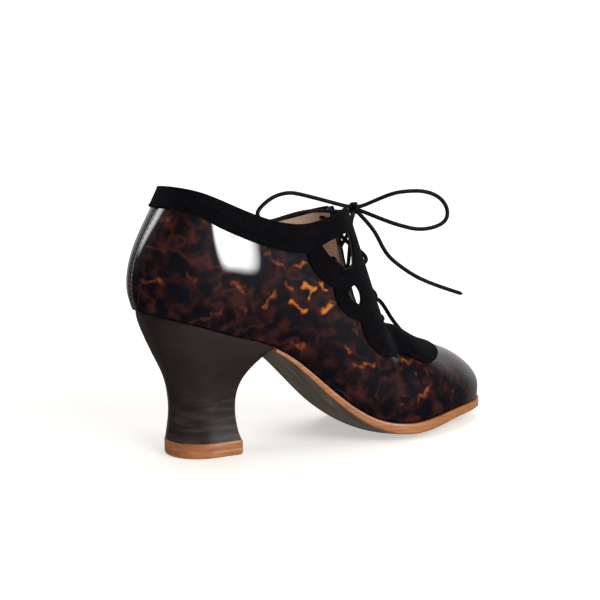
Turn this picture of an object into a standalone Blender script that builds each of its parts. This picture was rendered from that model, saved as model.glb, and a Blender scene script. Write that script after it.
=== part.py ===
"""Laced flamenco shoe for the right foot: upper, suede facing, insole, outsole, spool heel, lift and lace.

Metres, +X to the toe, +Y to the inner side of the foot, +Z up. While it is modelled, x is 0 at the back of
the heel and z is 0 on the floor. Everything hangs on one empty that moves the shoe to its place at the end.
The shape of the last is a function of two numbers: how far along the foot, and how far up the wall.
"""

import math
from collections import namedtuple

import bmesh
import bpy
import numpy as np
from mathutils import Matrix

# Driving dimensions of the last and of the materials
LENGTH = 0.2127
BALL_WIDTH = 0.0785
HEEL_HEIGHT = 0.0804
INSTEP_HEIGHT = 0.1293
WALL = 0.0016
SUEDE = 0.0010
GAP = 0.0003
LIFT_HEIGHT = 0.0080
INSOLE_THICKNESS = 0.0020
LACE_DIAMETER = 0.0021
LACE_LIFT = 0.0014

HALF_BALL = BALL_WIDTH / 2

# Points closer than this are one point, and edges that turn more than this stay sharp
WELD = 1e-6
SHARP_ANGLE = math.radians(40)

# The last, a row for each section. along, base and crest are shares of LENGTH, HEEL_HEIGHT and INSTEP_HEIGHT;
# widths and bulge are shares of HALF_BALL, before the ends of the plan are rounded off.
Section = namedtuple("Section", "along base crest foot_in foot_out wide_in wide_out bulge taper")
SECTIONS = [
    Section(0.000, 1.000, 1.59, 0.60, 0.61, 0.70, 0.72, 0.33, 2.30),
    Section(0.139, 0.888, 1.53, 0.58, 0.61, 0.69, 0.71, 0.44, 2.30),
    Section(0.222, 0.812, 1.48, 0.53, 0.60, 0.66, 0.71, 0.52, 2.15),
    Section(0.305, 0.742, 1.43, 0.47, 0.61, 0.63, 0.73, 0.52, 1.95),
    Section(0.400, 0.588, 1.35, 0.43, 0.65, 0.61, 0.78, 0.51, 1.80),
    Section(0.485, 0.378, 1.23, 0.49, 0.76, 0.68, 0.87, 0.47, 1.75),
    Section(0.570, 0.205, 1.07, 0.69, 0.87, 0.82, 0.95, 0.39, 2.00),
    Section(0.620, 0.146, 0.825, 0.81, 0.93, 0.89, 0.98, 0.34, 2.30),
    Section(0.660, 0.124, 0.560, 0.89, 0.97, 0.95, 1.00, 0.30, 2.10),
    Section(0.712, 0.117, 0.450, 0.95, 0.98, 0.99, 1.00, 0.26, 1.30),
    Section(0.786, 0.134, 0.374, 0.94, 0.92, 0.95, 0.94, 0.23, 0.95),
    Section(0.860, 0.145, 0.325, 0.86, 0.81, 0.87, 0.82, 0.21, 0.88),
    Section(1.000, 0.138, 0.250, 0.78, 0.74, 0.79, 0.75, 0.16, 0.85),
]

# Rounded ends of the plan: where each starts, how square it is, and how far its walls lean in
HEEL_ROUND = 0.277
HEEL_SQUARE = 4.0
HEEL_PIVOT = 0.139
HEEL_LEAN = 11.0
HEEL_INSET = 0.012
TOE_ROUND = 0.740
TOE_SQUARE = 2.5
TOE_LEAD = 0.120
TOE_LEAN = 0.95
TOE_INSET = 0.002
TOE_SWING = 0.080
SWING_FROM = 0.500

# Collar edge seen from the side, as shares of LENGTH and INSTEP_HEIGHT
Edge = namedtuple("Edge", "along rise")
TOPLINE = [
    Edge(0.023, 1.112),
    Edge(0.097, 1.112),
    Edge(0.157, 1.083),
    Edge(0.217, 1.036),
    Edge(0.296, 0.978),
    Edge(0.374, 0.941),
    Edge(0.425, 0.935),
    Edge(0.467, 0.943),
    Edge(0.527, 0.962),
    Edge(0.583, 0.985),
    Edge(0.647, 1.010),
]

# The collar lies lower on the inner side: its slope across the foot, level at this share of HALF_BALL
COLLAR_TILT = 0.070
COLLAR_LEVEL = -0.620

# Throat slot seen from the front: half width at each height, as shares of HALF_BALL and INSTEP_HEIGHT
Slot = namedtuple("Slot", "rise half")
SLOT = [
    Slot(0.445, 0.200),
    Slot(0.490, 0.250),
    Slot(0.570, 0.268),
    Slot(0.730, 0.262),
    Slot(0.940, 0.185),
    Slot(1.200, 0.150),
]
SLOT_BACK = 0.490
SLOT_FRONT = 1.100
THROAT_ALONG = 0.650

# Lace holes beside the slot, seen from the front, from the lowest pair up; a crossing lands this share of the
# lace's width under its hole and leaves as far above it
EYELET_RADIUS = 0.0014
EYELET_INSET = 0.0034
EYELET_BORE = 0.016
EYELET_RISES = [0.470, 0.575, 0.735, 0.920]
STRAND_STEP = 0.300

# Outlines seen from the side: corners as shares of LENGTH and INSTEP_HEIGHT, and how far the line to the next
# corner bows out, as a share of its own length
Corner = namedtuple("Corner", "along rise bow")
UPPER_CUTOUT = [
    Corner(0.458, 0.852, 0.04),
    Corner(0.511, 0.748, 0.12),
    Corner(0.551, 0.760, 0.04),
    Corner(0.562, 0.893, 0.03),
]
LOWER_CUTOUT = [
    Corner(0.518, 0.650, 0.08),
    Corner(0.548, 0.585, 0.15),
    Corner(0.560, 0.640, 0.12),
    Corner(0.541, 0.680, 0.10),
]
SCALLOPS = [
    Corner(0.412, 0.826, 0.12),
    Corner(0.479, 0.674, 0.18),
    Corner(0.549, 0.526, 0.27),
    Corner(0.695, 0.364, 0.19),
]
FRONT_LOBE = Corner(0.844, 0.345, 0.0)
APRON_END = Corner(0.860, 0.420, 0.0)
PATTERN_TOP = 1.400
PATTERN_BACK = -0.100
COLLAR_BAND = 0.0138
COLLAR_BAND_BACK = 0.0095
COLLAR_BAND_FULL = 0.18

# Spool heel: rise is the share of the way from the lift up to the seat; the rest is in metres from the back
# of the last, and seat says how much of the seat's own outline a section has taken on
Spool = namedtuple("Spool", "rise back front half seat")
SPOOL = [
    Spool(0.00, 0.0182, 0.0526, 0.0190, 0.0),
    Spool(0.06, 0.0188, 0.0515, 0.0184, 0.0),
    Spool(0.14, 0.0196, 0.0506, 0.0178, 0.0),
    Spool(0.25, 0.0201, 0.0500, 0.0172, 0.0),
    Spool(0.37, 0.0195, 0.0502, 0.0171, 0.0),
    Spool(0.52, 0.0172, 0.0518, 0.0178, 0.05),
    Spool(0.68, 0.0125, 0.0560, 0.0196, 0.25),
    Spool(0.84, 0.0078, 0.0626, 0.0219, 0.60),
    Spool(1.00, 0.0027, 0.0700, 0.0240, 1.0),
]
LIFT_PROUD = 0.0005

# Plan of a heel section: the round back takes this share of its length, and this is the power of its curve
HEEL_BACK_SHARE = 0.625
HEEL_BACK_POWER = 2.4

# How quickly the seat of the heel and the edge of the sole reach their full width from a pointed end
SEAT_SPREAD = 8
EDGE_SPREAD = 4

# The first section of the sole ahead of the heel's breast starts this far in front of it
BREAST_CLEAR = 0.003

# Outsole: thickness of its edge, how far it stands out past the upper, and how round it is underneath
Tread = namedtuple("Tread", "along edge welt crown")
TREAD = [
    Tread(0.330, 0.0012, 0.0004, 0.0030),
    Tread(0.440, 0.0030, 0.0006, 0.0065),
    Tread(0.560, 0.0036, 0.0009, 0.0060),
    Tread(0.700, 0.0042, 0.0010, 0.0064),
    Tread(0.850, 0.0042, 0.0008, 0.0045),
    Tread(1.000, 0.0042, 0.0004, 0.0010),
]

# The bow: its knot in front of the top bar, and the bends of each cord from the middle of the knot, in metres
KNOT_PLACE = (0.1340, 0.0, 0.1247)
KNOT_HALF = (0.0042, 0.0045, 0.0032)
Bend = namedtuple("Bend", "ahead across up")
FRONT_LOOP = [
    Bend(0.0040, -0.0017, 0.0011),
    Bend(0.0180, -0.0070, 0.0067),
    Bend(0.0269, -0.0100, 0.0084),
    Bend(0.0372, -0.0130, 0.0080),
    Bend(0.0461, -0.0150, 0.0042),
    Bend(0.0498, -0.0170, -0.0017),
    Bend(0.0481, -0.0180, -0.0085),
    Bend(0.0353, -0.0160, -0.0125),
    Bend(0.0250, -0.0130, -0.0108),
    Bend(0.0147, -0.0090, -0.0070),
    Bend(0.0036, -0.0022, -0.0018),
]
BACK_LOOP = [
    Bend(-0.0042, 0.0009, 0.0012),
    Bend(-0.0136, 0.0030, 0.0040),
    Bend(-0.0296, 0.0070, 0.0088),
    Bend(-0.0369, 0.0090, 0.0099),
    Bend(-0.0444, 0.0110, 0.0080),
    Bend(-0.0506, 0.0120, 0.0039),
    Bend(-0.0540, 0.0120, -0.0007),
    Bend(-0.0518, 0.0110, -0.0041),
    Bend(-0.0462, 0.0100, -0.0049),
    Bend(-0.0258, 0.0050, -0.0005),
    Bend(-0.0040, 0.0007, -0.0018),
]
NEAR_END = [
    Bend(0.0010, -0.0033, -0.0027),
    Bend(0.0073, -0.0080, -0.0117),
    Bend(0.0111, -0.0100, -0.0195),
    Bend(0.0148, -0.0120, -0.0263),
    Bend(0.0215, -0.0140, -0.0326),
    Bend(0.0333, -0.0160, -0.0403),
    Bend(0.0589, -0.0200, -0.0508),
]
FAR_END = [
    Bend(0.0010, 0.0033, -0.0027),
    Bend(0.0040, 0.0100, -0.0095),
    Bend(0.0080, 0.0180, -0.0190),
    Bend(0.0115, 0.0250, -0.0290),
    Bend(0.0140, 0.0320, -0.0440),
    Bend(0.0155, 0.0370, -0.0600),
]


def spline(table, column):
    """Natural cubic spline through one column of a table, as a function of along."""
    xs = np.array([row.along for row in table])
    ys = np.array([getattr(row, column) for row in table])
    step = np.diff(xs)
    count = len(xs)
    matrix = np.eye(count)
    right = np.zeros(count)
    for i in range(1, count - 1):
        matrix[i, i - 1:i + 2] = step[i - 1], 2 * (step[i - 1] + step[i]), step[i]
        right[i] = 6 * ((ys[i + 1] - ys[i]) / step[i] - (ys[i] - ys[i - 1]) / step[i - 1])
    bend = np.linalg.solve(matrix, right)

    def value(x):
        x = np.clip(x, xs[0], xs[-1])
        i = np.clip(np.searchsorted(xs, x) - 1, 0, count - 2)
        h = step[i]
        a = (xs[i + 1] - x) / h
        b = (x - xs[i]) / h
        curve = (a ** 3 - a) * bend[i] + (b ** 3 - b) * bend[i + 1]
        return a * ys[i] + b * ys[i + 1] + curve * h * h / 6

    return value


LAST = {name: spline(SECTIONS, name) for name in Section._fields[1:]}
COLLAR = spline(TOPLINE, "rise")


def base_height(x):
    """Height of the feather edge, where the upper meets the sole, at a distance from the back of the heel."""
    return HEEL_HEIGHT * LAST["base"](x / LENGTH)


def crest_height(x):
    """Height of the ridge that the two sides of the last run up to."""
    return INSTEP_HEIGHT * LAST["crest"](x / LENGTH)


def collar_height(x, y):
    """Height of the collar edge over a point of the plan."""
    return INSTEP_HEIGHT * COLLAR(x / LENGTH) - COLLAR_TILT * (y - COLLAR_LEVEL * HALF_BALL)


def axis_y(x):
    """The middle line of the last swings inwards at the toe."""
    return HALF_BALL * TOE_SWING * np.clip((x / LENGTH - SWING_FROM) / (1 - SWING_FROM), 0, 1) ** 2


def end_rounding(along):
    """Factor on the half widths that closes the plan at the heel and at the toe."""
    heel = np.clip((HEEL_ROUND - along) / HEEL_ROUND, 0, 1)
    toe = np.clip((along - TOE_ROUND) / (1 - TOE_ROUND), 0, 1)
    return np.sqrt(np.clip((1 - heel ** HEEL_SQUARE) * (1 - toe ** TOE_SQUARE), 0, 1))


def plan_point(along, side, kind):
    """Point of the foot outline or of the widest outline; side is +1 inside and -1 outside."""
    start = HEEL_INSET if kind == "foot" else 0.0
    end = 1 - TOE_INSET if kind == "foot" else 1.0
    x = LENGTH * (start + along * (end - start))
    column = kind + ("_in" if side > 0 else "_out")
    y = HALF_BALL * LAST[column](along) * end_rounding(along)
    return x, axis_y(x) + side * y


def pivot_x(along):
    """Where on the middle line a section's wall aims: ahead of it at the heel, behind it at the toe."""
    heel = np.clip((HEEL_ROUND - along) / HEEL_ROUND, 0, 1)
    toe = np.clip((along - TOE_ROUND) / (1 - TOE_ROUND), 0, 1)
    return LENGTH * (along + HEEL_PIVOT * heel ** 2 - TOE_LEAD * toe ** 2)


def wall(along, side, low_count=10, high_count=70):
    """Points up one wall of the last, from the feather edge to the crest."""
    foot_x, foot_y = plan_point(along, side, "foot")
    wide_x, wide_y = plan_point(along, side, "wide")
    pivot = pivot_x(along)
    middle = axis_y(pivot)
    base = base_height(foot_x)
    bulge = HALF_BALL * LAST["bulge"](along)
    crest = crest_height(pivot)
    lean = HEEL_LEAN if along < HEEL_ROUND else TOE_LEAN
    low = np.linspace(0, 1, low_count, endpoint=False)
    out = np.sin(low * math.pi / 2)
    lower_x = foot_x + (wide_x - foot_x) * out
    lower_y = foot_y + (wide_y - foot_y) * out
    lower = np.stack([lower_x, lower_y, base + bulge * low], 1)
    angle = np.linspace(0, math.pi / 2, high_count)
    shrink = np.clip(np.cos(angle), 0, 1)
    shrink[-1] = 0.0
    x = pivot + (wide_x - pivot) * shrink ** lean
    y = middle + (wide_y - middle) * shrink ** LAST["taper"](along)
    nudge = LENGTH * 0.001
    slope = (crest_height(pivot + nudge) - crest_height(pivot - nudge)) / (2 * nudge)
    rise = np.sin(angle)
    z = base + bulge + (crest - base - bulge + slope * (x - pivot)) * rise
    return np.concatenate([lower, np.stack([x, y, z], 1)])


def trim_at_collar(points):
    """The part of a wall below the collar edge, and whether it still reaches the crest."""
    above = points[:, 2] - collar_height(points[:, 0], points[:, 1])
    over = np.nonzero(above > 0)[0]
    if len(over) == 0:
        return points, True
    i = over[0]
    share = above[i - 1] / (above[i - 1] - above[i])
    cut = points[i - 1] + share * (points[i] - points[i - 1])
    return np.vstack([points[:i], cut]), False


def even_steps(points, count):
    """The same line with a number of points at equal distances."""
    reach = np.concatenate([[0], np.cumsum(np.linalg.norm(np.diff(points, axis=0), axis=1))])
    want = np.linspace(0, reach[-1], count)
    return np.stack([np.interp(want, reach, points[:, k]) for k in range(3)], 1)


def stations(heel_steps=6, middle_steps=15, toe_steps=9):
    """Shares of the length at which the last is cut into sections, closer together at its round ends."""
    heel = HEEL_ROUND * (1 - np.sin(np.linspace(math.pi / 2, 0, heel_steps, endpoint=False)))
    middle = np.linspace(HEEL_ROUND, TOE_ROUND, middle_steps, endpoint=False)
    toe = TOE_ROUND + (1 - TOE_ROUND) * np.sin(np.linspace(0, math.pi / 2, toe_steps))
    return np.concatenate([heel, middle, toe])


def last_grid(levels=15):
    """Grid of points round the last, and which of its columns reach the crest."""
    shares = stations()
    ring = [(along, -1) for along in shares] + [(along, 1) for along in shares[-2:0:-1]]
    columns = []
    closed = []
    for along, side in ring:
        points, whole = trim_at_collar(wall(along, side))
        columns.append(even_steps(points, levels))
        closed.append(whole)
    return np.array(columns), np.array(closed)


def grid_normals(grid, closed):
    """Outward direction at each point of the grid; columns that meet on the crest share theirs."""
    following = np.roll(grid, -1, axis=0)
    facing = np.cross(following[:, 1:] - grid[:, :-1], grid[:, 1:] - following[:, :-1])
    around = facing + np.roll(facing, 1, axis=0)
    normal = np.zeros_like(grid)
    normal[:, :-1] += around
    normal[:, 1:] += around
    partner = -np.arange(len(grid)) % len(grid)
    normal[closed, -1] += normal[partner[closed], -1]
    return normal / np.linalg.norm(normal, axis=2, keepdims=True)


GRID, CLOSED = last_grid()
NORMALS = grid_normals(GRID, CLOSED)


def offset_grid(distance):
    """The last's grid moved outwards, with its bottom edge kept level with the feather edge."""
    moved = GRID + NORMALS * distance
    moved[:, 0, 2] = base_height(moved[:, 0, 0])
    return moved


def material(name, colour, roughness):
    made = bpy.data.materials.new(name)
    made.use_nodes = True
    shader = made.node_tree.nodes["Principled BSDF"]
    shader.inputs["Base Color"].default_value = (*colour, 1.0)
    shader.inputs["Roughness"].default_value = roughness
    return made


def solid(name, points, faces, finish=None):
    """A closed mesh object from points and faces, welded, with its faces pointing out."""
    mesh = bpy.data.meshes.new(name)
    mesh.from_pydata([tuple(p) for p in points], [], faces)
    shape = bmesh.new()
    shape.from_mesh(mesh)
    bmesh.ops.remove_doubles(shape, verts=shape.verts, dist=WELD)
    bmesh.ops.dissolve_degenerate(shape, edges=shape.edges, dist=WELD / 10)
    bmesh.ops.recalc_face_normals(shape, faces=shape.faces)
    shape.to_mesh(mesh)
    shape.free()
    mesh.shade_smooth()
    mesh.set_sharp_from_angle(angle=SHARP_ANGLE)
    made = bpy.data.objects.new(name, mesh)
    bpy.context.scene.collection.objects.link(made)
    if finish is not None:
        mesh.materials.append(finish)
    return made


def ladder_cap(first, count):
    """Faces that close a ring with its odd point at one end, in strips straight across from side to side."""
    faces = [[first, first + 1, first + count - 1]]
    for i in range(1, count // 2):
        faces.append([first + i, first + i + 1, first + count - i - 1, first + count - i])
    return faces


def loft(name, rings, finish=None, ladder=False):
    """A closed solid through rings of equal length, capped at both ends."""
    count = len(rings[0])
    points = np.concatenate(rings)
    last = len(points) - count
    if ladder:
        faces = ladder_cap(0, count) + ladder_cap(last, count)
    else:
        faces = [list(range(count)), list(range(last, len(points)))]
    for i in range(len(rings) - 1):
        for j in range(count):
            k = (j + 1) % count
            faces.append([i * count + j, i * count + k, (i + 1) * count + k, (i + 1) * count + j])
    return solid(name, points, faces, finish)


def shell(name, inner, outer, finish=None):
    """A wall between two grids round the last, open at the collar and underneath."""
    columns, levels = inner.shape[:2]
    points = np.concatenate([inner.reshape(-1, 3), outer.reshape(-1, 3)])
    skin = columns * levels

    def index(i, k, layer):
        return layer * skin + (i % columns) * levels + k

    faces = []
    for i in range(columns):
        for k in range(levels - 1):
            for layer in (0, 1):
                low, high = index(i, k, layer), index(i + 1, k + 1, layer)
                faces.append([low, index(i + 1, k, layer), high])
                faces.append([low, high, index(i, k + 1, layer)])
        rims = [0]
        if not (CLOSED[i] and CLOSED[(i + 1) % columns]):
            rims.append(levels - 1)
        for k in rims:
            faces.append([index(i, k, 0), index(i + 1, k, 0), index(i + 1, k, 1), index(i, k, 1)])
    return solid(name, points, faces, finish)


def hidden_cutter(made):
    """Marks an object as a tool that only shapes others."""
    made.hide_render = True
    made.display_type = "WIRE"
    return made


def cut(target, cutter, operation="DIFFERENCE"):
    step = target.modifiers.new(cutter.name, "BOOLEAN")
    step.operation = operation
    step.object = cutter
    step.solver = "EXACT"


def side_point(along, rise):
    """A point of an outline drawn on the side view."""
    return np.array([LENGTH * along, INSTEP_HEIGHT * rise])


def bowed_line(start, end, bow, steps=6):
    """Points of a shallow arc from start up to, but without, end; it bows to the right of its direction."""
    share = np.linspace(0, 1, steps, endpoint=False)[:, None]
    across = np.array([end[1] - start[1], start[0] - end[0]])
    return start + (end - start) * share + across * bow * 4 * share * (1 - share)


def bowed_outline(corners, closed=True):
    """Outline through the corners of a table, with each line bowed as its row says."""
    points = []
    pairs = list(zip(corners, corners[1:] + corners[:1]))
    for start, end in pairs if closed else pairs[:-1]:
        points.append(bowed_line(side_point(*start[:2]), side_point(*end[:2]), start.bow))
    return np.concatenate(points)


def side_prism(name, outline, tilt=0.0):
    """A solid with an outline of the side view, right through the shoe, falling to the inner side by tilt."""
    rings = []
    for y in (-BALL_WIDTH, BALL_WIDTH):
        z = outline[:, 1] - tilt * (y - COLLAR_LEVEL * HALF_BALL)
        rings.append(np.stack([outline[:, 0], np.full(len(outline), y), z], 1))
    return loft(name, rings)


def slot_half(z):
    """Half width of the throat slot at a height."""
    rises = [row.rise * INSTEP_HEIGHT for row in SLOT]
    return np.interp(z, rises, [row.half * HALF_BALL for row in SLOT])


def slot_cutter():
    """The throat: a slot seen from the front, widest at its middle, with a round lower end."""
    heights = np.array([row.rise for row in SLOT]) * INSTEP_HEIGHT
    halves = np.array([row.half for row in SLOT]) * HALF_BALL
    turn = np.linspace(math.pi, 2 * math.pi, 9)[1:-1]
    end = np.stack([halves[0] * np.cos(turn), heights[0] + halves[0] * np.sin(turn)], 1)
    right = np.stack([halves, heights], 1)
    left = np.stack([-halves, heights], 1)[::-1]
    outline = np.concatenate([end, right, left])
    rings = []
    for x in (LENGTH * SLOT_BACK, LENGTH * SLOT_FRONT):
        middle = axis_y(LENGTH * THROAT_ALONG)
        rings.append(np.stack([np.full(len(outline), x), outline[:, 0] + middle, outline[:, 1]], 1))
    return loft("throat_slot", rings)


def wall_y(x, z, side):
    """Where across the foot the last's wall is, at a point of the side view between the round ends."""
    along = x / LENGTH
    wide_y = plan_point(along, side, "wide")[1]
    low = base_height(x) + HALF_BALL * LAST["bulge"](along)
    rise = np.clip((z - low) / (crest_height(x) - low), 0, 1)
    shrink = np.sqrt(1 - rise ** 2) ** LAST["taper"](along)
    return axis_y(x) + (wide_y - axis_y(x)) * shrink


def front_x(y, z):
    """How far forward the last reaches, at a point of the front view on the instep."""
    side = 1 if y > axis_y(LENGTH * THROAT_ALONG) else -1
    low, high = SLOT_BACK * LENGTH, TOE_ROUND * LENGTH
    for _ in range(40):
        middle = (low + high) / 2
        inside = abs(wall_y(middle, z, side) - axis_y(middle)) > abs(y - axis_y(middle))
        low, high = (middle, high) if inside else (low, middle)
    return low


def eyelet_places():
    """Front-view places of the lace holes: pairs from the bottom up, inner side first."""
    middle = axis_y(LENGTH * THROAT_ALONG)
    places = []
    for rise in EYELET_RISES:
        z = rise * INSTEP_HEIGHT
        out = slot_half(z) + EYELET_INSET
        places.append([(middle + out, z), (middle - out, z)])
    return places


def eyelet_cutter():
    """Round tools that bore the lace holes from the front."""
    shape = bmesh.new()
    for pair in eyelet_places():
        for y, z in pair:
            x = front_x(y, z)
            made = bmesh.ops.create_cone(shape, cap_ends=True, segments=10, radius1=EYELET_RADIUS,
                                         radius2=EYELET_RADIUS, depth=EYELET_BORE)
            turn = Matrix.Rotation(math.pi / 2, 4, "Y")
            bmesh.ops.transform(shape, matrix=Matrix.Translation((x, y, z)) @ turn, verts=made["verts"])
    mesh = bpy.data.meshes.new("lace_holes")
    shape.to_mesh(mesh)
    shape.free()
    made = bpy.data.objects.new("lace_holes", mesh)
    bpy.context.scene.collection.objects.link(made)
    return made


def suede_outline():
    """Side view of the suede: the collar band, then the scalloped edge of the facing to its front lobe."""
    xs = np.linspace(PATTERN_BACK * LENGTH, SCALLOPS[0].along * LENGTH, 12, endpoint=False)
    share = np.clip(xs / (COLLAR_BAND_FULL * LENGTH), 0, 1)
    band = COLLAR_BAND_BACK + (COLLAR_BAND - COLLAR_BAND_BACK) * share
    lower = np.stack([xs, collar_height(xs, COLLAR_LEVEL * HALF_BALL) - band], 1)
    scallops = bowed_outline(SCALLOPS + [FRONT_LOBE], closed=False)
    ends = [FRONT_LOBE[:2], APRON_END[:2], (APRON_END.along, PATTERN_TOP), (PATTERN_BACK, PATTERN_TOP)]
    above = np.array([side_point(*end) for end in ends])
    return np.concatenate([lower, scallops, above])


def heel_section(row, points=9):
    """Plan of the heel at one height: half round at the back, straight sides, flat at the breast."""
    turn = HEEL_BACK_SHARE * (1 - np.cos(np.linspace(0, math.pi / 2, points)))
    share = np.concatenate([turn, [(1 + HEEL_BACK_SHARE) / 2, 1]])
    x = row.back + (row.front - row.back) * share
    spool = row.half * np.sqrt(1 - np.clip(1 - share / HEEL_BACK_SHARE, 0, 1) ** HEEL_BACK_POWER)
    along = np.clip((x / LENGTH - HEEL_INSET) / (1 - TOE_INSET - HEEL_INSET), 0, 1)
    overhang = (WALL - GAP) * np.minimum(share * SEAT_SPREAD, 1)
    rim = []
    for side in (-1, 1):
        seat = np.abs(plan_point(along, side, "foot")[1]) + overhang
        y = spool + (seat - spool) * row.seat
        z = LIFT_HEIGHT + GAP + (base_height(x) - 2 * GAP - LIFT_HEIGHT) * row.rise
        rim.append(np.stack([x, side * y, z], 1))
    return np.concatenate([rim[0], rim[1][:0:-1]])


def heel_block(finish):
    return loft("heel_block", [heel_section(row) for row in SPOOL], finish, ladder=True)


def top_lift(finish):
    row = SPOOL[0]
    proud = row._replace(back=row.back - LIFT_PROUD, front=row.front + LIFT_PROUD, half=row.half + LIFT_PROUD)
    plan = heel_section(proud)[:, :2]
    rings = [np.column_stack([plan, np.full(len(plan), z)]) for z in (0.0, LIFT_HEIGHT)]
    return loft("top_lift", rings, finish)


def plan_section(along, grow, start, end):
    """x and the two edges of the foot outline at a share of its length, moved outwards by grow."""
    x = plan_point(along, 1, "foot")[0]
    x = start + (x - LENGTH * HEEL_INSET) * (end - start) / (LENGTH * (1 - TOE_INSET - HEEL_INSET))
    taper = min(1.0, end_rounding(along) * EDGE_SPREAD)
    inner = plan_point(along, 1, "foot")[1] + grow * taper
    outer = plan_point(along, -1, "foot")[1] - grow * taper
    return x, inner, outer


def insole(finish, columns=2):
    """A thin board that fits inside the feather edge."""
    start = LENGTH * HEEL_INSET + 2 * GAP
    end = LENGTH * (1 - TOE_INSET) - 2 * GAP
    rings = []
    for along in stations():
        x, inner, outer = plan_section(along, -2 * GAP, start, end)
        y = np.linspace(outer, inner, columns)
        low = np.stack([np.full(columns, x), y, np.full(columns, base_height(x) + GAP)], 1)
        high = low[::-1] + np.array([0, 0, INSOLE_THICKNESS])
        rings.append(np.concatenate([low, high]))
    return loft("insole", rings, finish)


def outsole(finish, columns=11):
    """Leather sole from the heel's breast to the toe, round underneath, with a flat spot under the ball."""
    edge, welt, crown = (spline(TREAD, name) for name in Tread._fields[1:])
    breast = SPOOL[-1].front + GAP
    shares = [along for along in stations() if along * LENGTH > breast + BREAST_CLEAR]
    first = (breast / LENGTH - HEEL_INSET) / (1 - TOE_INSET - HEEL_INSET)
    start = LENGTH * HEEL_INSET
    rings = []
    for along in [first] + shares:
        grow = WALL + welt(along)
        x, inner, outer = plan_section(along, grow, start, LENGTH * (1 - TOE_INSET))
        x += grow * np.clip((along - TOE_ROUND) / (1 - TOE_ROUND), 0, 1) ** 2
        across = np.sin(np.linspace(-math.pi / 2, math.pi / 2, columns))
        y = (inner + outer) / 2 + (inner - outer) / 2 * across
        top = base_height(min(x, LENGTH)) - GAP
        high = np.stack([np.full(columns, x), y, np.full(columns, top)], 1)
        bottom = np.maximum(top - edge(along) - crown(along) * end_rounding(along) * (1 - across ** 2), 0.0)
        low = np.stack([np.full(columns, x), y, bottom], 1)[::-1]
        rings.append(np.concatenate([high, low]))
    return loft("outsole", rings, finish)


def lace_point(y, z):
    """Middle of a strand that lies on the facing at a point of the front view, clear of the suede."""
    step = LACE_DIAMETER / 4
    x = front_x(y, z)
    across = (front_x(y + step, z) - front_x(y - step, z)) / (2 * step)
    up = (front_x(y, z + step) - front_x(y, z - step)) / (2 * step)
    outward = np.array([1, -across, -up]) / math.hypot(1, across, up)
    return np.array([x, y, z]) + outward * (WALL + GAP + SUEDE + LACE_LIFT + LACE_DIAMETER / 2)


def strand_path(start, end):
    """A strand between two lace holes: over each side of the facing, and straight across the slot."""
    middle = axis_y(LENGTH * THROAT_ALONG)
    start, end = np.array(start), np.array(end)
    width = abs(end[0] - start[0])
    leave = (abs(start[0] - middle) - slot_half(start[1])) / width
    land = 1 - (abs(end[0] - middle) - slot_half(end[1])) / width
    shares = [0, leave / 2, leave, land, (1 + land) / 2, 1]
    points = [lace_point(*(start + (end - start) * share)) for share in shares]
    return np.array(points[:3] + [(points[2] + points[3]) / 2] + points[3:])


def tube(name, path, finish=None, sides=8):
    """A round strand along a path, with flat ends."""
    ahead = np.gradient(path, axis=0)
    ahead /= np.linalg.norm(ahead, axis=1, keepdims=True)
    sideways = np.cross(ahead, [1.0, 0.0, 0.0])
    sideways /= np.linalg.norm(sideways, axis=1, keepdims=True)
    upward = np.cross(sideways, ahead)
    rings = []
    for point, u, v in zip(path, sideways, upward):
        turn = np.linspace(0, 2 * math.pi, sides, endpoint=False)[:, None]
        rings.append(point + LACE_DIAMETER / 2 * (np.cos(turn) * u + np.sin(turn) * v))
    return loft(name, rings, finish)


def lace_crossings(finish):
    """The lace over the throat, joined: a bar at the top pair of holes, and crossings between the pairs."""
    pairs = eyelet_places()
    step = np.array([0.0, LACE_DIAMETER * STRAND_STEP])
    joined = tube("lace_crossings", strand_path(*pairs[-1]), finish)
    for i, (low, high) in enumerate(zip(pairs, pairs[1:]), start=1):
        for side in (0, 1):
            strand = tube(f"lace_strand_{i}_{side}", strand_path(low[side] + step, high[1 - side] - step))
            cut(joined, hidden_cutter(strand), "UNION")
    return joined


def lace_knot(finish, rows=7, sides=12):
    """The knot, as one egg-shaped lump."""
    turn = np.linspace(0, 2 * math.pi, sides, endpoint=False)
    rings = []
    for lift in np.linspace(-math.pi / 2, math.pi / 2, rows + 2)[1:-1]:
        level = np.cos(lift)
        unit = np.stack([level * np.cos(turn), level * np.sin(turn), np.full(sides, np.sin(lift))], 1)
        rings.append(np.array(KNOT_PLACE) + unit * KNOT_HALF)
    return loft("lace_knot", rings, finish)


def cord(name, bends, finish, steps=3):
    """A free length of lace through its bends, as a round curve with closed ends."""
    points = np.array(bends) + np.array(KNOT_PLACE)
    reach = np.arange(len(points))
    Knot = namedtuple("Knot", "along x y z")
    table = [Knot(along, *point) for along, point in zip(reach, points)]
    shares = np.linspace(0, reach[-1], steps * reach[-1] + 1)
    path = np.stack([spline(table, axis)(shares) for axis in "xyz"], 1)
    curve = bpy.data.curves.new(name, "CURVE")
    curve.dimensions = "3D"
    curve.bevel_depth = LACE_DIAMETER / 2
    curve.bevel_resolution = 2
    curve.use_fill_caps = True
    line = curve.splines.new("POLY")
    line.points.add(len(path) - 1)
    for point, place in zip(line.points, path):
        point.co = (*place, 1.0)
    curve.materials.append(finish)
    made = bpy.data.objects.new(name, curve)
    bpy.context.scene.collection.objects.link(made)
    return made


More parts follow.
